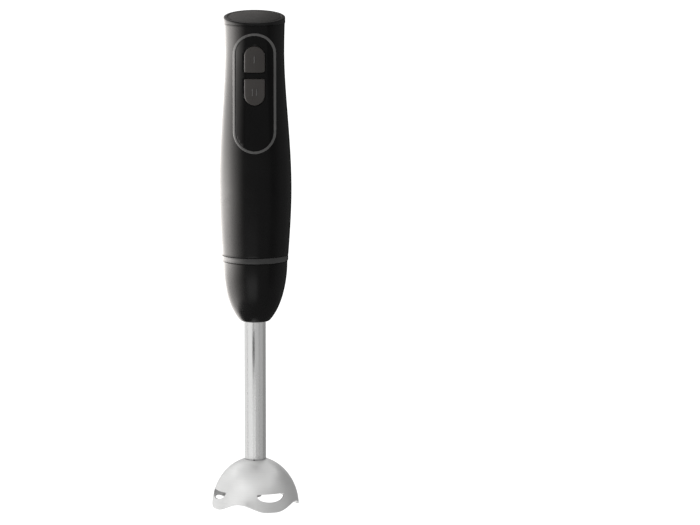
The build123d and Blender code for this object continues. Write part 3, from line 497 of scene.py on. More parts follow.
def lathe(profile: Pairs, steps: int = 128, closed: bool = True) -> Mesh:
    """Turn a half section about the main axis.

    Args:
        profile: (radius, height) of each point, in order.
        steps: how many facets go round.
        closed: whether the last point joins the first.

    Returns:
        The turned mesh, its faces pointing outwards.
    """
    mesh = bmesh.new()
    points = [mesh.verts.new((radius, 0.0, height)) for radius, height in profile]
    pairs = list(zip(points, points[1:]))
    if closed:
        pairs.append((points[-1], points[0]))
    edges = [mesh.edges.new(pair) for pair in pairs]
    bmesh.ops.spin(mesh, geom=points + edges, cent=(0, 0, 0), axis=(0, 0, 1), dvec=(0, 0, 0),
                   angle=2 * pi, steps=steps, use_merge=True, use_duplicate=False)
    bmesh.ops.remove_doubles(mesh, verts=mesh.verts[:], dist=WELD)
    face_outwards(mesh)
    return mesh


def soften(mesh: Mesh, radius: float, segments: int = 3, sharper_than: float = 50.0,
           keep: Callable[[Edge], bool] | None = None) -> None:
    """Round the sharp edges of a mesh.

    Args:
        mesh: the mesh.
        radius: the rounding's width.
        segments: facets across it.
        sharper_than: the least angle, in degrees, that counts as sharp.
        keep: picks among the sharp edges, or None for all of them.
    """
    limit = radians(sharper_than)
    sharp = [edge for edge in mesh.edges if len(edge.link_faces) == 2
             and edge.calc_face_angle(0.0) > limit and (keep is None or keep(edge))]
    bmesh.ops.bevel(mesh, geom=sharp, offset=radius, offset_type="OFFSET", segments=segments,
                    profile=0.5, affect="EDGES", clamp_overlap=True, material=-1)


def lift(mesh: Mesh, faces: list[Face], along: Vector) -> None:
    """Extrude faces along a vector.

    Args:
        mesh: the mesh.
        faces: the faces to lift.
        along: how far and which way.
    """
    grown = bmesh.ops.extrude_face_region(mesh, geom=faces)["geom"]
    moving = [item for item in grown if isinstance(item, Vert)]
    bmesh.ops.translate(mesh, vec=along, verts=moving)


def cut_at(mesh: Mesh, point: Vector, normal: Vector, clear: bool = False) -> list[Edge]:
    """Cut a mesh with a plane.

    Args:
        mesh: the mesh.
        point: a point on the plane.
        normal: the plane's normal.
        clear: whether the side that the normal points to is taken away.

    Returns:
        The edges on the plane.
    """
    geometry = mesh.verts[:] + mesh.edges[:] + mesh.faces[:]
    cut = bmesh.ops.bisect_plane(mesh, geom=geometry, dist=CUT, plane_co=point, plane_no=normal,
                                 clear_outer=clear)["geom_cut"]
    return [item for item in cut if isinstance(item, Edge)]


def sliced(mesh: Mesh, axis: Vector, step: float) -> None:
    """Cut a mesh into slices, so that it can bend smoothly.

    Args:
        mesh: the mesh.
        axis: the slices' normal.
        step: their thickness.
    """
    heights = [vertex.co.dot(axis) for vertex in mesh.verts]
    for index in range(ceil(min(heights) / step), floor(max(heights) / step) + 1):
        cut_at(mesh, axis * index * step, axis)


def shade_smooth(data: bpy.types.Mesh, crease: float) -> None:
    """Shade a mesh smooth, except at edges sharper than a crease in degrees."""
    data.polygons.foreach_set("use_smooth", [True] * len(data.polygons))
    data.set_sharp_from_angle(angle=radians(crease))


def as_piece(mesh: Mesh, name: str, crease: float = 32.0) -> Piece:
    """Make an object of a finished mesh.

    Args:
        mesh: the mesh, which is freed.
        name: the piece's name.
        crease: the angle, in degrees, from which an edge is shaded sharp.

    Returns:
        The object, in the scene.
    """
    data = bpy.data.meshes.new(name)
    mesh.to_mesh(data)
    mesh.free()
    shade_smooth(data, crease)
    piece = bpy.data.objects.new(name, data)
    bpy.context.scene.collection.objects.link(piece)
    return piece


def carve(piece: Piece, cutter: Mesh, crease: float = 32.0) -> None:
    """Cut a closed shape out of a piece.

    Args:
        piece: the piece, which keeps its name.
        cutter: the shape to take away, which is freed.
        crease: the angle, in degrees, from which an edge is shaded sharp.
    """
    tool = as_piece(cutter, "cutting_tool")
    cut = piece.modifiers.new("cut", "BOOLEAN")
    cut.operation = "DIFFERENCE"
    cut.solver = "EXACT"
    cut.object = tool
    graph = bpy.context.evaluated_depsgraph_get()
    result = bpy.data.meshes.new_from_object(piece.evaluated_get(graph))
    piece.modifiers.clear()
    before = piece.data
    piece.data = result
    bpy.data.meshes.remove(before)
    bpy.data.objects.remove(tool)
    shade_smooth(result, crease)


def handed_over(piece: Piece, body: str, slot: Slot, finishes: Finishes, *nodes: str) -> None:
    """Dress a finished piece, put it on its body and hide what it stands for.

    Args:
        piece: the piece.
        body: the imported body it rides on.
        slot: its finish.
        finishes: the finishes.
        nodes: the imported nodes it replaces.
    """
    finishes.dress(piece, slot)
    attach(piece, body)
    if nodes:
        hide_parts(*nodes)
    log.info("made %s (%d faces) on %s", piece.name, len(piece.data.polygons), body)


def prism(outline: Pairs, depth: float, turn: float = 0.0, start: float = 0.0) -> Mesh:
    """An upright outline pushed out from the axis, for cutting.

    Args:
        outline: (sideways, height) of each point.
        depth: how far it reaches.
        turn: its direction, in degrees from the front towards the right.
        start: how far from the axis it begins.

    Returns:
        The closed prism.
    """
    mesh = bmesh.new()
    face = mesh.faces.new([mesh.verts.new((side, -start, height)) for side, height in outline])
    lift(mesh, [face], Vector((0, -depth, 0)))
    face_outwards(mesh)
    swing(mesh, turn)
    return mesh


def lug(radii: tuple[float, float], heights: tuple[float, float], angle: float, turn: float,
        rounding: float = 0.0) -> Mesh:
    """A block of a ring, as on a bayonet.

    Args:
        radii: its inner and outer radius.
        heights: its bottom and top.
        angle: how far it goes round, in degrees.
        turn: the direction of its middle, in degrees.
        rounding: the width of its rounded edges.

    Returns:
        The closed block.
    """
    (inner, outer), (bottom, top) = radii, heights
    corners = [(inner, bottom), (outer, bottom), (outer, top), (inner, top)]
    mesh = bmesh.new()
    face = mesh.faces.new([mesh.verts.new((reach, 0, height)) for reach, height in corners])
    bmesh.ops.spin(mesh, geom=[face], cent=(0, 0, 0), axis=(0, 0, 1), dvec=(0, 0, 0),
                   angle=radians(angle), steps=16, use_merge=False, use_duplicate=False)
    face_outwards(mesh)
    if rounding:
        soften(mesh, rounding, 2, 60.0)
    swing(mesh, turn - angle / 2)
    return mesh


def joined(meshes: list[Mesh]) -> Mesh:
    """Put several meshes into one.

    Args:
        meshes: the meshes, which are freed.

    Returns:
        One mesh that holds them all.
    """
    whole = bmesh.new()
    for mesh in meshes:
        data = bpy.data.meshes.new("joining")
        mesh.to_mesh(data)
        mesh.free()
        whole.from_mesh(data)
        bpy.data.meshes.remove(data)
    return whole


# ---- the handle's skin ----------------------------------------------------------------------
@dataclass
class GripCurve:
    """The handle's outer radius at each height: a smooth curve through five places."""

    bottom: float = field(default_factory=lambda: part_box("front_housing")[0][2])
    top: float = field(default_factory=lambda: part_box("front_housing")[1][2])
    bottom_radius: float = 26.3 * MM
    belly_radius: float = 28.8 * MM
    belly_rise: float = 49.4 * MM
    shoulder_radius: float = 25.35 * MM
    shoulder_drop: float = 64.5 * MM
    waist_radius: float = 23.35 * MM
    waist_drop: float = 26.5 * MM
    top_radius: float = 23.75 * MM
    rounds: int = 60

    def __post_init__(self) -> None:
        """Solve the curve's bending at each place (a natural cubic spline)."""
        self.heights = [self.bottom, self.bottom + self.belly_rise, self.top - self.shoulder_drop,
                        self.top - self.waist_drop, self.top]
        self.radii = [self.bottom_radius, self.belly_radius, self.shoulder_radius,
                      self.waist_radius, self.top_radius]
        steps = [after - before for before, after in zip(self.heights, self.heights[1:])]
        slopes = [(b - a) / step for a, b, step in zip(self.radii, self.radii[1:], steps)]
        self.bends = [0.0] * len(self.heights)
        for _ in range(self.rounds):
            for i in range(1, len(steps)):
                pull = 6 * (slopes[i] - slopes[i - 1])
                pull -= steps[i - 1] * self.bends[i - 1] + steps[i] * self.bends[i + 1]
                self.bends[i] = pull / (2 * (steps[i - 1] + steps[i]))

    def radius(self, height: float) -> float:
        """The skin's radius at a height.

        Args:
            height: above the floor.

        Returns:
            The radius.
        """
        height = min(max(height, self.bottom), self.top)
        i = max(k for k in range(len(self.heights) - 1) if self.heights[k] <= height)
        span = self.heights[i + 1] - self.heights[i]
        above, below = (self.heights[i + 1] - height) / span, (height - self.heights[i]) / span
        curve = (above ** 3 - above) * self.bends[i] + (below ** 3 - below) * self.bends[i + 1]
        return above * self.radii[i] + below * self.radii[i + 1] + curve * span ** 2 / 6

    def bend(self, mesh: Mesh, slices: float = 1.4 * MM) -> None:
        """Lay a flat model on the skin's front.

        Args:
            mesh: a model in the XZ plane whose -Y coordinate is its height above the skin.
            slices: how finely it is cut first.
        """
        sliced(mesh, Vector((1, 0, 0)), slices)
        sliced(mesh, Vector((0, 0, 1)), 2 * slices)
        for vertex in mesh.verts:
            reach = self.radius(vertex.co.z) - vertex.co.y
            vertex.co.y = -sqrt(max(reach ** 2 - vertex.co.x ** 2, 0.0))


@dataclass
class Housings:
    """The two shells of the handle."""

    skin: GripCurve
    wall: float = 2.2 * MM
    rows: int = 110
    facets: int = 160
    seam: float = 0.05 * MM
    edge: float = 0.35 * MM
    cut_reach: float = 40.0 * MM
    vent_start: float = 10.0 * MM
    vent_length: float = 16.0 * MM
    vent_width: float = 1.8 * MM
    vent_pitch: float = 4.2 * MM
    vent_count: int = 5
    vent_drop: float = 79.0 * MM
    hole_start: float = 6.0 * MM
    screw_well: float = 2.7 * MM
    upper_screw_reach: float = 15.2 * MM
    cord_hole: float = 4.6 * MM

    def shell(self, side: int) -> Mesh:
        """Half of the turned skin, with its wall.

        Args:
            side: -1 for the front and 1 for the rear.

        Returns:
            The closed half shell.
        """
        length = self.skin.top - self.skin.bottom
        heights = [self.skin.bottom + length * row / self.rows for row in range(self.rows + 1)]
        outside = [(self.skin.radius(height), height) for height in heights]
        inside = [(radius - self.wall, height) for radius, height in reversed(outside)]
        mesh = lathe(outside + inside, self.facets)
        cut_at(mesh, Vector((0, side * self.seam, 0)), Vector((0, -side, 0)), clear=True)
        open_edges = [edge for edge in mesh.edges if edge.is_boundary]
        bmesh.ops.edgeloop_fill(mesh, edges=open_edges)
        face_outwards(mesh)
        soften(mesh, self.edge, 2, 60.0)
        return mesh

    def build(self, finishes: Finishes) -> None:
        """Make both shells with their openings.

        Args:
            finishes: the finishes.
        """
        front = as_piece(self.shell(-1), "handle_front_shell")
        panel = Controls(self.skin)
        opening = prism(panel.oval(panel.trim / 2), 1.5 * self.cut_reach)
        carve(front, opening)
        handed_over(front, "handle", Slot.BODY, finishes, "front_housing")
        rear = as_piece(self.shell(1), "handle_rear_shell")
        carve(rear, self.rear_openings())
        handed_over(rear, "handle", Slot.BODY, finishes, "rear_housing")

    def vent(self, height: float) -> Pairs:
        """A cooling slot's outline: level, with round ends.

        Args:
            height: the height of its middle.

        Returns:
            (sideways, height) of each point.
        """
        half, radius = (self.vent_length - self.vent_width) / 2, self.vent_width / 2
        turns = [pi * step / 8 for step in range(9)]
        right = [(half + radius * sin(turn), height - radius * cos(turn)) for turn in turns]
        left = [(-half - radius * sin(turn), height + radius * cos(turn)) for turn in turns]
        return right + left

    def rear_openings(self) -> Mesh:
        """The cooling slots, screw wells and cord hole.

        Returns:
            One cutting shape.
        """
        lowest = self.skin.top - self.vent_drop - (self.vent_count - 1) / 2 * self.vent_pitch
        heights = [lowest + index * self.vent_pitch for index in range(self.vent_count)]
        cuts = [prism(self.vent(height), self.cut_reach, 180.0, self.vent_start)
                for height in heights]
        low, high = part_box("housing_screws")
        well = self.screw_well
        places = [(low[2] + well, high[0] - well), (high[2] - well, self.upper_screw_reach)]
        holes = [circle(side * reach, height, well) for height, reach in places for side in (-1, 1)]
        holes.append(circle(0.0, middle("cord_gland").z, self.cord_hole))
        cuts += [prism(hole, self.cut_reach, 180.0, self.hole_start) for hole in holes]
        return joined(cuts)


@dataclass
class Controls:
    """The oval panel with its trim ring, and the two speed buttons."""

    skin: GripCurve
    width: float = field(default_factory=lambda: spans("panel_ring").x)
    height: float = field(default_factory=lambda: spans("panel_ring").z)
    centre: float = field(default_factory=lambda: middle("panel_ring").z)
    trim: float = 2.0 * MM
    trim_rise: float = 0.5 * MM
    wall: float = 2.2 * MM
    gap: float = 0.4 * MM
    rise: float = 1.0 * MM
    corner: float = 1.2 * MM
    mark_height: float = 5.5 * MM
    mark_width: float = 0.85 * MM
    mark_pitch: float = 3.1 * MM
    button_width: float = 15.9 * MM
    button_height: float = 20.5 * MM
    panel_rounding: float = 0.15 * MM
    trim_rounding: float = 0.45 * MM
    button_rounding: float = 0.8 * MM
    skirt: float = 1.5 * MM
    mark_depth: float = 0.8 * MM
    mark_rounding: float = 0.22 * MM

    def oval(self, inset: float, arc: int = 40) -> Pairs:
        """The panel's outline, drawn smaller.

        Args:
            inset: how much smaller, all round.
            arc: points on each round end.

        Returns:
            (sideways, height) of each point, anticlockwise.
        """
        radius = self.width / 2 - inset
        reach = (self.height - self.width) / 2
        turns = [pi * step / arc for step in range(arc + 1)]
        upper = [(radius * cos(turn), self.centre + reach + radius * sin(turn)) for turn in turns]
        lower = [(-side, 2 * self.centre - height) for side, height in upper]
        return upper + lower

    def button_face(self, mesh: Mesh, centre: float, upward: bool, growth: float = 0.0) -> Face:
        """A button's flat outline: one square end with small corners and one round end.

        Args:
            mesh: the mesh to draw it in.
            centre: the height of the button's middle.
            upward: whether the round end is on top.
            growth: how much larger it is all round.

        Returns:
            The outline's face.
        """
        half, tall = self.button_width / 2 + growth, self.button_height / 2 + growth
        corners = [mesh.verts.new((side * half, 0.0, centre + end * tall))
                   for side, end in ((-1, -1), (1, -1), (1, 1), (-1, 1))]
        mesh.faces.new(corners)
        round_end = corners[2:] if upward else corners[:2]
        square_end = corners[:2] if upward else corners[2:]
        nearly_half = half * 0.998
        for ends, radius, segments in ((round_end, nearly_half, 20),
                                       (square_end, self.corner + growth, 5)):
            kept = [vertex for vertex in ends if vertex.is_valid]
            bmesh.ops.bevel(mesh, geom=kept, offset=radius, offset_type="OFFSET",
                            segments=segments, profile=0.5, affect="VERTICES",
                            clamp_overlap=False, material=-1)
        return max(mesh.faces, key=lambda face: face.calc_area())

    def panel(self) -> Mesh:
        """The glossy panel, with a hole for each button.

        Returns:
            The panel's mesh.
        """
        mesh = bmesh.new()
        rim = [mesh.verts.new((side, 0.0, height)) for side, height in self.oval(self.trim)]
        edges = [mesh.edges.new(pair) for pair in zip(rim, rim[1:] + rim[:1])]
        for number in (1, 2):
            button = bmesh.new()
            height = middle(f"speed_button_{number}").z
            hole = self.button_face(button, height, number == 1, self.gap)
            loop = [mesh.verts.new(corner.vert.co) for corner in hole.loops]
            edges += [mesh.edges.new(pair) for pair in zip(loop, loop[1:] + loop[:1])]
            button.free()
        bmesh.ops.triangle_fill(mesh, edges=edges, use_beauty=True, use_dissolve=True)
        lift(mesh, mesh.faces[:], Vector((0, self.wall, 0)))
        face_outwards(mesh)
        soften(mesh, self.panel_rounding, 2, 60.0,
               lambda edge: max(v.co.y for v in edge.verts) < WELD)
        self.skin.bend(mesh)
        return mesh

    def trim_ring(self) -> Mesh:
        """The raised ring round the panel.

        Returns:
            The ring's mesh.
        """
        mesh = bmesh.new()
        outline = [(side, -self.trim_rise, height) for side, height in self.oval(0.0)]
        face = mesh.faces.new([mesh.verts.new(point) for point in outline])
        face.normal_update()
        bmesh.ops.inset_region(mesh, faces=[face], thickness=self.trim, use_even_offset=True,
                               use_boundary=True)
        bmesh.ops.delete(mesh, geom=[face], context="FACES")
        lift(mesh, mesh.faces[:], Vector((0, self.trim_rise + self.wall / 2, 0)))
        face_outwards(mesh)
        soften(mesh, self.trim_rounding, 4, 60.0,
               lambda edge: max(v.co.y for v in edge.verts) < -self.trim_rise / 2)
        self.skin.bend(mesh)
        return mesh

    def button(self, number: int) -> Mesh:
        """A speed button with a rounded rim and a skirt down into its hole.

        Args:
            number: 1 or 2.

        Returns:
            The button's mesh.
        """
        mesh = bmesh.new()
        face = self.button_face(mesh, middle(f"speed_button_{number}").z, number == 1)
        shift(mesh, (0, -self.rise, 0))
        lift(mesh, [face], Vector((0, self.rise + self.wall + self.skirt, 0)))
        face_outwards(mesh)
        soften(mesh, self.button_rounding, 5, 50.0,
               lambda edge: max(v.co.y for v in edge.verts) < 0)
        self.skin.bend(mesh, 1.0 * MM)
        return mesh

    def marks(self, number: int) -> Mesh:
        """The raised strokes on a button: one for each step of speed.

        Args:
            number: how many strokes.

        Returns:
            The strokes' mesh.
        """
        strokes = []
        centre = middle(f"speed_button_{number}").z
        for index in range(number):
            side = (index - (number - 1) / 2) * self.mark_pitch
            mesh = bmesh.new()
            bmesh.ops.create_cube(mesh, size=1.0)
            size = (self.mark_width, self.mark_depth, self.mark_height)
            bmesh.ops.scale(mesh, vec=size, verts=mesh.verts[:])
            shift(mesh, (side, -self.rise, centre))
            soften(mesh, self.mark_rounding, 3, 50.0)
            strokes.append(mesh)
        mesh = joined(strokes)
        self.skin.bend(mesh, 0.6 * MM)
        return mesh

    def build(self, finishes: Finishes) -> None:
        """Make the panel, its trim, the buttons and their marks.

        Args:
            finishes: the finishes.
        """
        crease = 40.0
        panel = as_piece(self.panel(), "oval_panel", crease)
        handed_over(panel, "handle", Slot.PANEL, finishes, "button_panel")
        trim = as_piece(self.trim_ring(), "oval_trim", crease)
        handed_over(trim, "handle", Slot.TRIM, finishes, "panel_ring")
        for number in (1, 2):
            key = as_piece(self.button(number), f"speed_key_{number}", crease)
            handed_over(key, f"button_{number}", Slot.BUTTON, finishes, f"speed_button_{number}")
            marks = as_piece(self.marks(number), f"speed_marks_{number}", crease)
            handed_over(marks, f"button_{number}", Slot.TRIM, finishes)


@dataclass
class KeySprings:
    """The springs behind the two keys."""

    weld_within: float = 0.001 * MM

    def build(self, finishes: Finishes) -> None:
        """Make both springs from the imported nodes, where they stand.

        Args:
            finishes: the finishes.
        """
        entries = frame["record"]["subparts"]
        slots = {entry["node"]: Slot(entry["material_slot"]) for entry in entries}
        for number in (1, 2):
            node = f"button_spring_{number}"
            mesh = bmesh.new()
            mesh.from_mesh(frame["nodes"][node].data)
            bmesh.ops.remove_doubles(mesh, verts=mesh.verts[:], dist=self.weld_within)
            piece = as_piece(mesh, f"key_spring_{number}")
            finishes.dress(piece, slots[node])
            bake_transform(piece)
            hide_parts(node)
            log.info("made %s (%d faces)", piece.name, len(piece.data.polygons))


@dataclass
class TopCap:
    """The sloping cap, with a rounded lip and a fine groove round its top."""

    radius: float = 24.1 * MM
    front: float = 1.8 * MM
    rear: float = 7.8 * MM
    lip: float = 1.0 * MM
    land: float = 1.9 * MM
    groove: float = 0.55 * MM
    groove_depth: float = 0.4 * MM
    groove_side: float = 0.12 * MM
    dish: float = 0.5 * MM
    dish_rise: float = 0.05 * MM

    def build(self, finishes: Finishes) -> None:
        """Make the cap.

        Args:
            finishes: the finishes.
        """
        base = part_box("front_housing")[1][2]
        slope = atan2(self.rear - self.front, 2 * self.radius)
        upwards = Vector((0, -sin(slope), cos(slope)))
        mesh = bmesh.new()
        bmesh.ops.create_circle(mesh, cap_ends=True, radius=self.radius, segments=160)
        shift(mesh, (0, 0, base))
        lift(mesh, mesh.faces[:], Vector((0, 0, 2 * self.rear)))
        level = Vector((0, 0, base + (self.front + self.rear) / 2))
        bmesh.ops.edgeloop_fill(mesh, edges=cut_at(mesh, level, upwards, clear=True))
        face_outwards(mesh)
        soften(mesh, self.lip, 5, 50.0, lambda edge: min(v.co.z for v in edge.verts) > base + MM)
        top = max(mesh.faces, key=lambda face: face.normal.z * face.calc_area())
        for width, rise in ((self.land, 0.0), (self.groove_side, -self.groove_depth),
                            (self.groove, 0.0), (self.groove_side, self.groove_depth),
                            (self.dish, self.dish_rise)):
            bmesh.ops.inset_region(mesh, faces=[top], thickness=width, depth=0.0,
                                   use_even_offset=True)
            bmesh.ops.translate(mesh, vec=upwards * rise, verts=top.verts[:])
        cap = as_piece(mesh, "sloping_cap", 24.0)
        handed_over(cap, "handle", Slot.CAP, finishes, "top_cap")


@dataclass
class CordGland:
    """The rubber bushing in the back of the handle."""

    flange: float = 6.5 * MM
    bore: float = 3.2 * MM
    neck: float = 4.5 * MM
    flange_thickness: float = 2.6 * MM
    edge_height: float = 0.6 * MM
    edge_width: float = 0.8 * MM
    rounding: float = 0.35 * MM

    def build(self, finishes: Finishes) -> None:
        """Make the gland by turning its section about a level axis.

        Args:
            finishes: the finishes.
        """
        low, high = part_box("cord_gland")
        face, back = high[1], low[1]
        seat = face - self.flange_thickness
        section = [(self.bore, back), (self.neck, back), (self.neck, seat), (self.flange, seat),
                   (self.flange, face - self.edge_height), (self.flange - self.edge_width, face),
                   (self.bore, face)]
        mesh = lathe(section, 64)
        soften(mesh, self.rounding, 3, 30.0)
        swing(mesh, -90.0, "X")
        shift(mesh, (0, 0, middle("cord_gland").z))
        handed_over(as_piece(mesh, "cord_bushing"), "handle", Slot.RUBBER, finishes, "cord_gland")


@dataclass
class LockRing:
    """The turning ring between handle and leg, with its three inner lugs."""

    radius: float = 26.15 * MM
    bore: float = 20.0 * MM
    neck: float = 21.8 * MM
    flange: float = 23.6 * MM
    flange_height: float = 2.0 * MM
    band: float = 4.4 * MM
    lug_radius: float = 16.8 * MM
    lug_angle: float = 50.0
    lug_start: float = 1.0 * MM
    lug_root: float = 0.4 * MM
    lug_turn: float = 60.0
    rounding: float = 0.35 * MM

    def build(self, finishes: Finishes) -> None:
        """Make the ring and its lugs.

        Args:
            finishes: the finishes.
        """
        bottom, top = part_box("lock_ring")[0][2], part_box("lock_ring")[1][2]
        section = [(self.bore, bottom), (self.radius, bottom), (self.radius, bottom + self.band),
                   (self.neck, bottom + self.band), (self.neck, top - self.flange_height),
                   (self.flange, top - self.flange_height), (self.flange, top), (self.bore, top)]
        ring = lathe(section, 160)
        soften(ring, self.rounding, 3, 50.0)
        lugs = [lug((self.lug_radius, self.bore + self.lug_root),
                    (bottom + self.lug_start, bottom + self.band), self.lug_angle,
                    self.lug_turn + 120 * index) for index in range(3)]
        piece = as_piece(joined([ring] + lugs), "turning_ring")
        handed_over(piece, "ring", Slot.RING, finishes, "lock_ring")


@dataclass
class LegCone:
    """The black nose at the top of the leg: half an ellipse in section."""

    radius: float = 25.5 * MM
    curve: float = 53.5 * MM
    wall: float = 2.3 * MM
    rounding: float = 2.4 * MM
    rows: int = 48
    top_gap: float = 0.3 * MM
    top_rounding: float = 0.3 * MM

    def build(self, finishes: Finishes) -> None:
        """Make the cone.

        Args:
            finishes: the finishes.
        """
        low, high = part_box("leg_cone")
        origin = high[2] + self.top_gap
        heights = [low[2] + (high[2] - low[2]) * row / self.rows for row in range(self.rows + 1)]
        outside = [(self.radius * sqrt(1 - ((origin - height) / self.curve) ** 2), height)
                   for height in heights]
        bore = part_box("shaft_tube")[1][0]
        inside = [(max(radius - self.wall, bore), height) for radius, height in reversed(outside)]
        mesh = lathe(outside + inside, 144)
        rim = outside[0][0]
        soften(mesh, self.rounding, 6, 40.0, lambda edge: all(
            v.co.z < low[2] + ON_PLANE and hypot(v.co.x, v.co.y) > rim - 10 * ON_PLANE
            for v in edge.verts))
        soften(mesh, self.top_rounding, 2, 60.0,
               lambda edge: all(v.co.z > high[2] - ON_PLANE for v in edge.verts))
        handed_over(as_piece(mesh, "leg_nose"), "leg", Slot.BODY, finishes, "leg_cone")


@dataclass
class Tube:
    """The stainless shaft tube, with the bead where it meets the guard, and a small dark sphere
    there that is painted shade of a dimple's recess.
    """

    wall: float = 0.8 * MM
    lip: float = 0.4 * MM
    facets: int = 128
    bead: float = 0.32 * MM
    bead_sink: float = 0.1 * MM
    bead_drop: float = 0.25 * MM
    # The small dark sphere at the joint: painted shade standing in for the recess of a dimple in
    # the tube, not a real part.
    plug_and_shade_spot: float = 0.62 * MM
    shade_spot_side: float = -1.1 * MM
    shade_spot_proud: float = 0.15 * MM
    shade_spot_drop: float = 0.6 * MM

    def build(self, finishes: Finishes) -> None:
        """Make the tube and the joint.

        Args:
            finishes: the finishes.
        """
        low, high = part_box("shaft_tube")
        radius, inner = high[0], high[0] - self.wall
        section = [(inner, low[2]), (radius, low[2]), (radius, high[2]), (inner, high[2])]
        mesh = lathe(section, self.facets)
        soften(mesh, self.lip / 2, 2, 50.0)
        handed_over(as_piece(mesh, "leg_tube"), "leg", Slot.TUBE, finishes, "shaft_tube")
        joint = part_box("blade_guard")[1][2]
        bead = circle(radius - self.bead_sink, joint - self.bead_drop, self.bead, 12)
        weld = lathe(bead, self.facets)
        handed_over(as_piece(weld, "weld_bead"), "leg", Slot.PLAIN_STEEL, finishes)
        # Painted shade: a small dark sphere where the tube has a dimple, so that the dimple's
        # recess reads dark.
        plug_and_shade_spot = bmesh.new()
        bmesh.ops.create_icosphere(plug_and_shade_spot, subdivisions=3, radius=self.plug_and_shade_spot)
        shift(plug_and_shade_spot, (self.shade_spot_side, -radius - self.shade_spot_proud, joint - self.shade_spot_drop))
        handed_over(as_piece(plug_and_shade_spot, "painted_dimple_shade"), "leg", Slot.RUBBER, finishes)


@dataclass
class Guard:
    """The bell over the blade: a thin dome with four lobes and a slot in each lobe."""

    radius: float = 34.2 * MM
    height: float = 39.0 * MM
    wall: float = 1.0 * MM
    lobes: int = 4
    first_lobe: float = 22.5
    foot: float = 7.0 * MM
    valley: float = 6.0 * MM
    slot_top: float = 14.4 * MM
    slot_bottom: float = 8.1 * MM
    slot_width: float = 22.5 * MM
    facets: int = 192
    rows: int = 44
    slot_corner: float = 0.6 * MM
    slot_corner_drop: float = 0.35 * MM
    slot_shoulder: float = 1.1 * MM
    cut_start: float = 12.0 * MM
    cut_reach: float = 60.0 * MM
    rounding: float = 0.22 * MM

    def rim_height(self, turn: float) -> float:
        """The rim's height in one direction.

        Args:
            turn: degrees from the front towards the right.

        Returns:
            The height, 0 at a lobe's foot.
        """
        pitch = 360.0 / self.lobes
        from_lobe = abs((turn - self.first_lobe + pitch / 2) % pitch - pitch / 2)
        foot = degrees(self.foot / 2 / self.radius)
        share = max(0.0, (from_lobe - foot) / (pitch / 2 - foot))
        return self.valley * sin(share * pi / 2) ** 2

    def slot_outline(self) -> Pairs:
        """A slot's outline: a straight top edge over a deep arc, with rounded corners.

        Returns:
            (sideways, height) of each point.
        """
        half, corner = self.slot_width / 2, self.slot_corner
        shoulder = self.slot_top - self.slot_shoulder
        drop = self.slot_top - self.slot_bottom - self.slot_shoulder
        turns = [pi * step / 28 for step in range(29)]
        arc = [(half * cos(turn), shoulder - drop * sin(turn)) for turn in turns]
        near, low = half - corner * 0.3, self.slot_top - self.slot_corner_drop
        ends = [(-near, low), (corner - half, self.slot_top), (half - corner, self.slot_top),
                (near, low)]
        return arc + ends

    def build(self, finishes: Finishes) -> None:
        """Make the guard.

        Args:
            finishes: the finishes.
        """
        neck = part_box("shaft_tube")[1][0]
        last = asin(sqrt(1 - (neck / self.radius) ** 2))
        turns = [last * row / self.rows for row in range(self.rows + 1)]
        profile = [(self.radius * cos(turn), self.height * sin(turn)) for turn in turns]
        mesh = lathe(profile, self.facets, closed=False)
        for vertex in mesh.verts:
            reach = hypot(vertex.co.x, vertex.co.y)
            share = atan2(vertex.co.z / self.height, reach / self.radius) / last
            start = asin(self.rim_height(degrees(atan2(vertex.co.x, -vertex.co.y))) / self.height)
            turn = start + (last - start) * share
            across = self.radius * cos(turn) / reach
            height = self.height * sin(turn)
            vertex.co = Vector((vertex.co.x * across, vertex.co.y * across, height))
        inner = mesh.copy()
        for vertex in inner.verts:
            reach = hypot(vertex.co.x, vertex.co.y)
            tilt = atan2(vertex.co.z / self.height ** 2, reach / self.radius ** 2)
            inward = self.wall * cos(tilt) / reach
            vertex.co.x -= vertex.co.x * inward
            vertex.co.y -= vertex.co.y * inward
            vertex.co.z -= self.wall * sin(tilt) * min(1.0, vertex.co.z / self.wall)
        shell = joined([mesh, inner])
        rim = [edge for edge in shell.edges
               if edge.is_boundary and hypot(*edge.verts[0].co.xy) > self.radius / 2]
        bmesh.ops.bridge_loops(shell, edges=rim)
        neck_edges = [edge for edge in shell.edges if edge.is_boundary]
        bmesh.ops.bridge_loops(shell, edges=neck_edges)
        face_outwards(shell)
        soften(shell, self.rounding, 2, 50.0)
        guard = as_piece(shell, "blade_bell")
        pitch = 360.0 / self.lobes
        turns = [self.first_lobe + index * pitch for index in range(self.lobes)]
        cuts = [prism(self.slot_outline(), self.cut_reach, turn, self.cut_start) for turn in turns]
        carve(guard, joined(cuts))
        handed_over(guard, "leg", Slot.GUARD, finishes, "blade_guard")


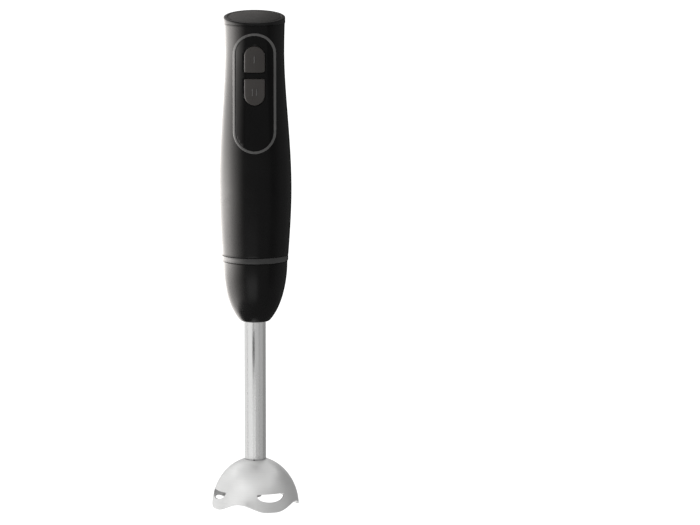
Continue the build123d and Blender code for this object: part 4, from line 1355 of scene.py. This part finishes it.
@dataclass
class Blade:
    """The two-winged blade, one wing bent up and the other down, with ground edges."""

    thickness: float = 1.2 * MM
    width: float = 10.0 * MM
    bend_start: float = 11.0 * MM
    rise: float = 4.6 * MM
    fall: float = 3.2 * MM
    grind: float = 0.4 * MM
    root: float = 5.0 * MM

    def build(self, finishes: Finishes) -> None:
        """Make the blade.

        Args:
            finishes: the finishes.
        """
        low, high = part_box("blade")
        reach = high[0]
        level = low[2] + self.fall
        tip = self.width / 3
        wing = [(self.root, -self.width / 2), (reach * 0.6, -self.width * 0.36), (reach, -tip / 2),
                (reach - 0.8 * MM, tip), (reach - 3.5 * MM, tip * 1.5), (reach / 2, tip),
                (self.root, self.width / 2)]
        outline = wing + [(-x, -y) for x, y in wing]
        mesh = bmesh.new()
        face = mesh.faces.new([mesh.verts.new((x, y, level)) for x, y in outline])
        lift(mesh, [face], Vector((0, 0, self.thickness)))
        face_outwards(mesh)
        soften(mesh, self.grind, 1, 60.0,
               lambda edge: min(v.co.z for v in edge.verts) > level + self.grind)
        sliced(mesh, Vector((1, 0, 0)), 1.5 * MM)
        for vertex in mesh.verts:
            share = max(0.0, abs(vertex.co.x) - self.bend_start) / (reach - self.bend_start)
            vertex.co.z += (self.rise if vertex.co.x > 0 else -self.fall) * share ** 1.15
        wings = as_piece(mesh, "blade_wings", 28.0)
        handed_over(wings, "blade_shaft", Slot.BLADE, finishes, "blade")


@dataclass
class GuardHub:
    """The black hub under the dome, with the seal's recess."""

    rounding: float = 1.4 * MM
    tube_wall: float = 0.8 * MM
    seal: float = 6.5 * MM
    bore: float = 5.0 * MM
    recess: float = 3.5 * MM

    def build(self, finishes: Finishes) -> None:
        """Make the hub.

        Args:
            finishes: the finishes.
        """
        low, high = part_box("guard_hub")
        radius = high[0]
        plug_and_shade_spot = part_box("shaft_tube")[1][0] - self.tube_wall
        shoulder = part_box("shaft_tube")[0][2]
        recess = low[2] + self.recess
        section = [(self.seal, low[2]), (radius, low[2]), (radius, shoulder), (plug_and_shade_spot, shoulder),
                   (plug_and_shade_spot, high[2]), (self.bore, high[2]), (self.bore, recess), (self.seal, recess)]
        mesh = lathe(section, 96)
        soften(mesh, self.rounding, 4, 50.0, lambda edge: all(
            v.co.z < low[2] + ON_PLANE and hypot(v.co.x, v.co.y) > radius - ON_PLANE
            for v in edge.verts))
        handed_over(as_piece(mesh, "seal_hub"), "leg", Slot.INNER, finishes, "guard_hub")


@dataclass
class Plug:
    """The leg's plug: flange, sleeve and three lugs, seen when the leg is pulled out."""

    flange: float = 23.2 * MM
    radius: float = 16.2 * MM
    bore: float = 11.6 * MM
    flange_height: float = 3.3 * MM
    lug_reach: float = 3.2 * MM
    lug_height: float = 2.8 * MM
    lug_angle: float = 50.0
    lug_drop: float = 4.2 * MM
    lug_root: float = 0.5 * MM
    lug_rounding: float = 0.3 * MM
    sleeve: float = 2.6 * MM
    floor: float = 4.5 * MM
    shaft_hole: float = 5.6 * MM
    groove_drop: float = 8.0 * MM
    groove_half: float = 0.9 * MM
    groove_radius: float = 14.55 * MM

    def build(self, finishes: Finishes) -> None:
        """Make the plug.

        Args:
            finishes: the finishes.
        """
        low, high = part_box("leg_adaptor")
        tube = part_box("shaft_tube")[1]
        sleeve, tube_top, floor_top = tube[0] + self.sleeve, tube[2], tube[2] + self.floor
        flange_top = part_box("leg_cone")[1][2]
        flange_bottom = flange_top - self.flange_height
        groove = high[2] - self.groove_drop
        groove_low, groove_high = groove - self.groove_half, groove + self.groove_half
        section = [(tube[0], low[2]), (sleeve, low[2]), (sleeve, tube_top), (self.radius, tube_top),
                   (self.radius, flange_bottom), (self.flange, flange_bottom),
                   (self.flange, flange_top), (self.radius, flange_top), (self.radius, groove_low),
                   (self.groove_radius, groove_low), (self.groove_radius, groove_high),
                   (self.radius, groove_high), (self.radius, high[2]), (self.bore, high[2]),
                   (self.bore, floor_top), (self.shaft_hole, floor_top),
                   (self.shaft_hole, tube_top), (tube[0], tube_top)]
        lug_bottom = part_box("lock_ring")[1][2] - self.lug_drop
        radii = (self.radius - self.lug_root, self.radius + self.lug_reach)
        heights = (lug_bottom, lug_bottom + self.lug_height)
        lugs = [lug(radii, heights, self.lug_angle, 120 * index, self.lug_rounding)
                for index in range(3)]
        parts = [lathe(section, 128)] + lugs
        handed_over(as_piece(joined(parts), "leg_plug"), "leg", Slot.INNER, finishes, "leg_adaptor")


# ---- studio ---------------------------------------------------------------------------------
@dataclass(frozen=True)
class Card:
    """A glowing card bent round the object, which only plastic reflects.

    It runs from start to end, in degrees from the front towards the right. Its heights are
    (height, share of the full brightness) from its bottom to its top, and its first edge takes
    fade degrees to fade in.
    """

    name: str
    start: float
    end: float
    heights: Pairs
    strength: float
    fade: float = 25.0
    colour: Colour = (1.0, 1.0, 1.0)


@dataclass(frozen=True)
class SoftBox:
    """A large rectangular light that only steel reflects.

    It stands in the direction turn, in degrees from the front towards the right, circles a point
    on the axis at a height, and is raised from there by tilt degrees.
    """

    name: str
    turn: float
    width: float
    radiance: float
    length: float = 2.2
    height: float = 0.1
    tilt: float = 0.0
    distance: float = 1.0


CARDS = (
    Card("left_soft_box", -32.0, -185.0,
         [(-1.0, 0.34), (-0.3, 0.42), (-0.1, 0.7), (0.03, 1.0), (0.12, 0.85), (0.3, 0.42),
          (0.45, 0.4), (0.62, 0.2), (1.6, 0.14)], 7.4, 62.0, (1.0, 0.965, 0.935)),
    Card("low_card", 18.0, -60.0, [(-1.1, 1.0), (-0.34, 1.0), (-0.22, 0.0)], 0.5, 14.0),
    Card("right_card", 50.0, 165.0, [(-0.5, 1.0), (0.9, 1.0)], 0.1, 40.0),
    Card("rear_card", 135.0, 225.0, [(0.6, 0.0), (0.95, 1.0), (1.9, 0.4)], 0.2),
)
SOFT_BOXES = (
    SoftBox("steel_far_left", -124.0, 1.2, 0.84),
    SoftBox("steel_left", -60.0, 1.16, 0.9),
    SoftBox("steel_front", 18.0, 0.82, 0.52),
    SoftBox("steel_right", 68.0, 0.98, 0.44),
    SoftBox("steel_far_right", 123.0, 1.02, 0.3),
    SoftBox("steel_rear", 180.0, 1.0, 0.5),
    SoftBox("steel_front_low", -15.5, 0.54, 0.74, length=1.1, height=-0.59),
    SoftBox("steel_front_high", -15.5, 0.54, 0.8, length=1.0, height=0.68),
    SoftBox("steel_above", 0.0, 2.4, 0.64, length=2.4, tilt=90.0, distance=1.15),
    SoftBox("steel_below", 0.0, 2.4, 0.5, length=2.4, tilt=-90.0, distance=1.15),
)


@dataclass
class Studio:
    """A pale floor, even soft light, soft boxes all round and a long-lens camera."""

    finishes: Finishes
    floor_size: float = 14.0
    floor_drop: float = 30.5 * MM
    eye: Vector = field(default_factory=lambda: Vector((0.0, -4.13, 0.80)))
    target: Vector = field(default_factory=lambda: Vector((0.0745, 0.0, 0.1935)))
    key_place: Vector = field(default_factory=lambda: Vector((-1.5, -1.1, 1.3)))
    key_aim: Vector = field(default_factory=lambda: Vector((0.0, 0.0, 0.2)))
    key_size: tuple[float, float] = (1.4, 1.8)
    key_power: float = 14.0
    lens: float = 273.9
    surround: float = 1.0
    drum_radius: float = 1.9
    drum_bottom: float = -1.2
    drum_top: float = 2.6
    drum_glow: float = 0.07
    card_distance: float = 1.45
    fade_layer: str = "fade"
    fade_power: float = 1.6
    far_fade: float = 30.0
    floor_shade: float = 0.45
    floor_glow: float = 0.72

    def emitter(self, name: str, strength: float, colour: Colour) -> bpy.types.Material:
        """A plain glowing material for a light panel.

        Args:
            name: the material's name.
            strength: how bright it is.
            colour: its colour.

        Returns:
            The material.
        """
        material = bpy.data.materials.new(name)
        material.use_nodes = True
        tree = material.node_tree
        tree.nodes.clear()
        glow = tree.nodes.new("ShaderNodeEmission")
        glow.inputs["Color"].default_value = (*colour, 1.0)
        fade = tree.nodes.new("ShaderNodeAttribute")
        fade.attribute_name = self.fade_layer
        scaled = tree.nodes.new("ShaderNodeMath")
        scaled.operation = "MULTIPLY"
        scaled.inputs[1].default_value = strength
        tree.links.new(fade.outputs["Fac"], scaled.inputs[0])
        tree.links.new(scaled.outputs["Value"], glow.inputs["Strength"])
        output = tree.nodes.new("ShaderNodeOutputMaterial")
        tree.links.new(glow.outputs["Emission"], output.inputs["Surface"])
        return material

    def card(self, mesh: Mesh, name: str, strength: float,
             colour: Colour = (1.0, 1.0, 1.0)) -> None:
        """A glowing card that only reflections in plastic see.

        Args:
            mesh: its shape, which is freed.
            name: the card's name.
            strength: how bright it is.
            colour: its colour.
        """
        card = as_piece(mesh, name)
        card.data.materials.append(self.emitter(name, strength, colour))
        card.visible_camera = False
        card.visible_diffuse = False
        card.visible_shadow = False
        card.visible_transmission = False
        card.light_linking.receiver_collection = self.finishes.others

    def curved_card(self, card: Card) -> None:
        """Make a bent card, whose upright edges fade out.

        Args:
            card: the card.
        """
        mesh = bmesh.new()
        layer = mesh.verts.layers.float.new(self.fade_layer)
        first = Matrix.Rotation(radians(card.start), 3, "Z") @ Vector((0, -self.card_distance, 0))
        line = []
        for height, share in card.heights:
            vertex = mesh.verts.new((first.x, first.y, height))
            vertex[layer] = share
            line.append(vertex)
        edges = [mesh.edges.new(pair) for pair in zip(line, line[1:])]
        bmesh.ops.spin(mesh, geom=line + edges, cent=(0, 0, 0), axis=(0, 0, 1), dvec=(0, 0, 0),
                       angle=radians(card.end - card.start), steps=48, use_merge=False,
                       use_duplicate=False)
        for vertex in mesh.verts:
            direction = degrees(atan2(vertex.co.x, -vertex.co.y))
            turned = abs((direction - card.start + 180) % 360 - 180)
            left = max(0.0, abs(card.end - card.start) - turned)
            vertex[layer] *= min(1.0, turned / card.fade) ** self.fade_power
            vertex[layer] *= min(1.0, left / min(card.fade, self.far_fade))
        self.card(mesh, card.name, card.strength, card.colour)

    def drum(self) -> None:
        """The dark closed surround that plastic reflects between the soft boxes."""
        mesh = bmesh.new()
        bmesh.ops.create_cone(mesh, cap_ends=True, cap_tris=False, segments=64,
                              radius1=self.drum_radius, radius2=self.drum_radius,
                              depth=self.drum_top - self.drum_bottom)
        shift(mesh, (0, 0, (self.drum_top + self.drum_bottom) / 2))
        bmesh.ops.reverse_faces(mesh, faces=mesh.faces[:])
        layer = mesh.verts.layers.float.new(self.fade_layer)
        for vertex in mesh.verts:
            vertex[layer] = 1.0
        self.card(mesh, "dark_surround", self.drum_glow)

    def area_light(self, name: str, size: tuple[float, float], power: float, place: Vector,
                   facing: Vector) -> Piece:
        """A rectangular light.

        Args:
            name: its name.
            size: its width and height.
            power: its power in watts.
            place: where it stands.
            facing: the direction from what it lights to the light.

        Returns:
            The light.
        """
        data = bpy.data.lights.new(name, "AREA")
        data.shape = "RECTANGLE"
        data.size, data.size_y = size
        data.energy = power
        light = bpy.data.objects.new(name, data)
        bpy.context.scene.collection.objects.link(light)
        light.location = place
        light.rotation_euler = facing.to_track_quat("Z", "Y").to_euler()
        return light

    def soft_box(self, box: SoftBox) -> None:
        """Make a light that only steel reflects.

        Args:
            box: the light.
        """
        tilt = radians(box.tilt)
        away = Matrix.Rotation(radians(box.turn), 3, "Z") @ Vector((0, -cos(tilt), sin(tilt)))
        power = 4.0 * box.radiance * box.width * box.length
        place = Vector((0, 0, box.height)) + away * box.distance
        light = self.area_light(box.name, (box.width, box.length), power, place, away)
        light.visible_camera = False
        light.visible_diffuse = False
        light.visible_transmission = False
        light.light_linking.receiver_collection = self.finishes.metal

    def ground(self) -> None:
        """The pale floor, lower by the leg's travel, so that a drawn leg stays clear of it."""
        mesh = bmesh.new()
        bmesh.ops.create_grid(mesh, x_segments=1, y_segments=1, size=self.floor_size / 2)
        shift(mesh, (0, 0, -self.floor_drop))
        ground = as_piece(mesh, "studio_floor")
        sheet = NodeSheet("pale_floor")
        inputs = sheet.shader.inputs
        inputs["Base Color"].default_value = (*[self.floor_shade] * 3, 1.0)
        inputs["Emission Color"].default_value = (1.0, 1.0, 1.0, 1.0)
        inputs["Emission Strength"].default_value = self.floor_glow
        inputs["Specular IOR Level"].default_value = 0.0
        sheet.gloss_by(sheet.noise(3.0), 0.825, 0.075)
        ground.data.materials.append(sheet.material)
        ground.visible_glossy = False
        ground.visible_shadow = False

    def world(self) -> None:
        """Even white light from everywhere."""
        world = bpy.data.worlds.new("studio_surround")
        bpy.context.scene.world = world
        world.use_nodes = True
        backdrop = world.node_tree.nodes["Background"]
        backdrop.inputs["Color"].default_value = (1.0, 1.0, 1.0, 1.0)
        backdrop.inputs["Strength"].default_value = self.surround

    def build(self) -> None:
        """Make the floor, the lights and the camera."""
        self.ground()
        self.world()
        self.drum()
        for card in CARDS:
            self.curved_card(card)
        for box in SOFT_BOXES:
            self.soft_box(box)
        self.key_light()
        self.camera()

    def key_light(self) -> None:
        """A large soft light from the upper left."""
        light = self.area_light("key_soft_box", self.key_size, self.key_power, self.key_place,
                                self.key_place - self.key_aim)
        light.visible_glossy = False

    def camera(self) -> None:
        """The camera: far away, a little above, looking slightly to the object's right."""
        data = bpy.data.cameras.new("studio_camera")
        data.lens = self.lens
        data.sensor_width = 36.0
        data.clip_end = 50.0
        camera = bpy.data.objects.new("studio_camera", data)
        bpy.context.scene.collection.objects.link(camera)
        camera.location = self.eye
        camera.rotation_euler = (self.target - self.eye).to_track_quat("-Z", "Y").to_euler()
        bpy.context.scene.camera = camera
        bpy.context.scene.view_settings.view_transform = "Standard"


def main() -> None:
    """Build every piece in order, dress it and light it."""
    finishes = Finishes()
    finishes.dress_cad()
    skin = GripCurve()
    makers = [Housings(skin), Controls(skin), KeySprings(), TopCap(), CordGland(), LockRing(),
              LegCone(), Tube(), Guard(), GuardHub(), Blade(), Plug()]
    for maker in makers:
        maker.build(finishes)
        log.info("finished %s", type(maker).__name__)
    Studio(finishes).build()


if __name__ == "__main__":
    main()
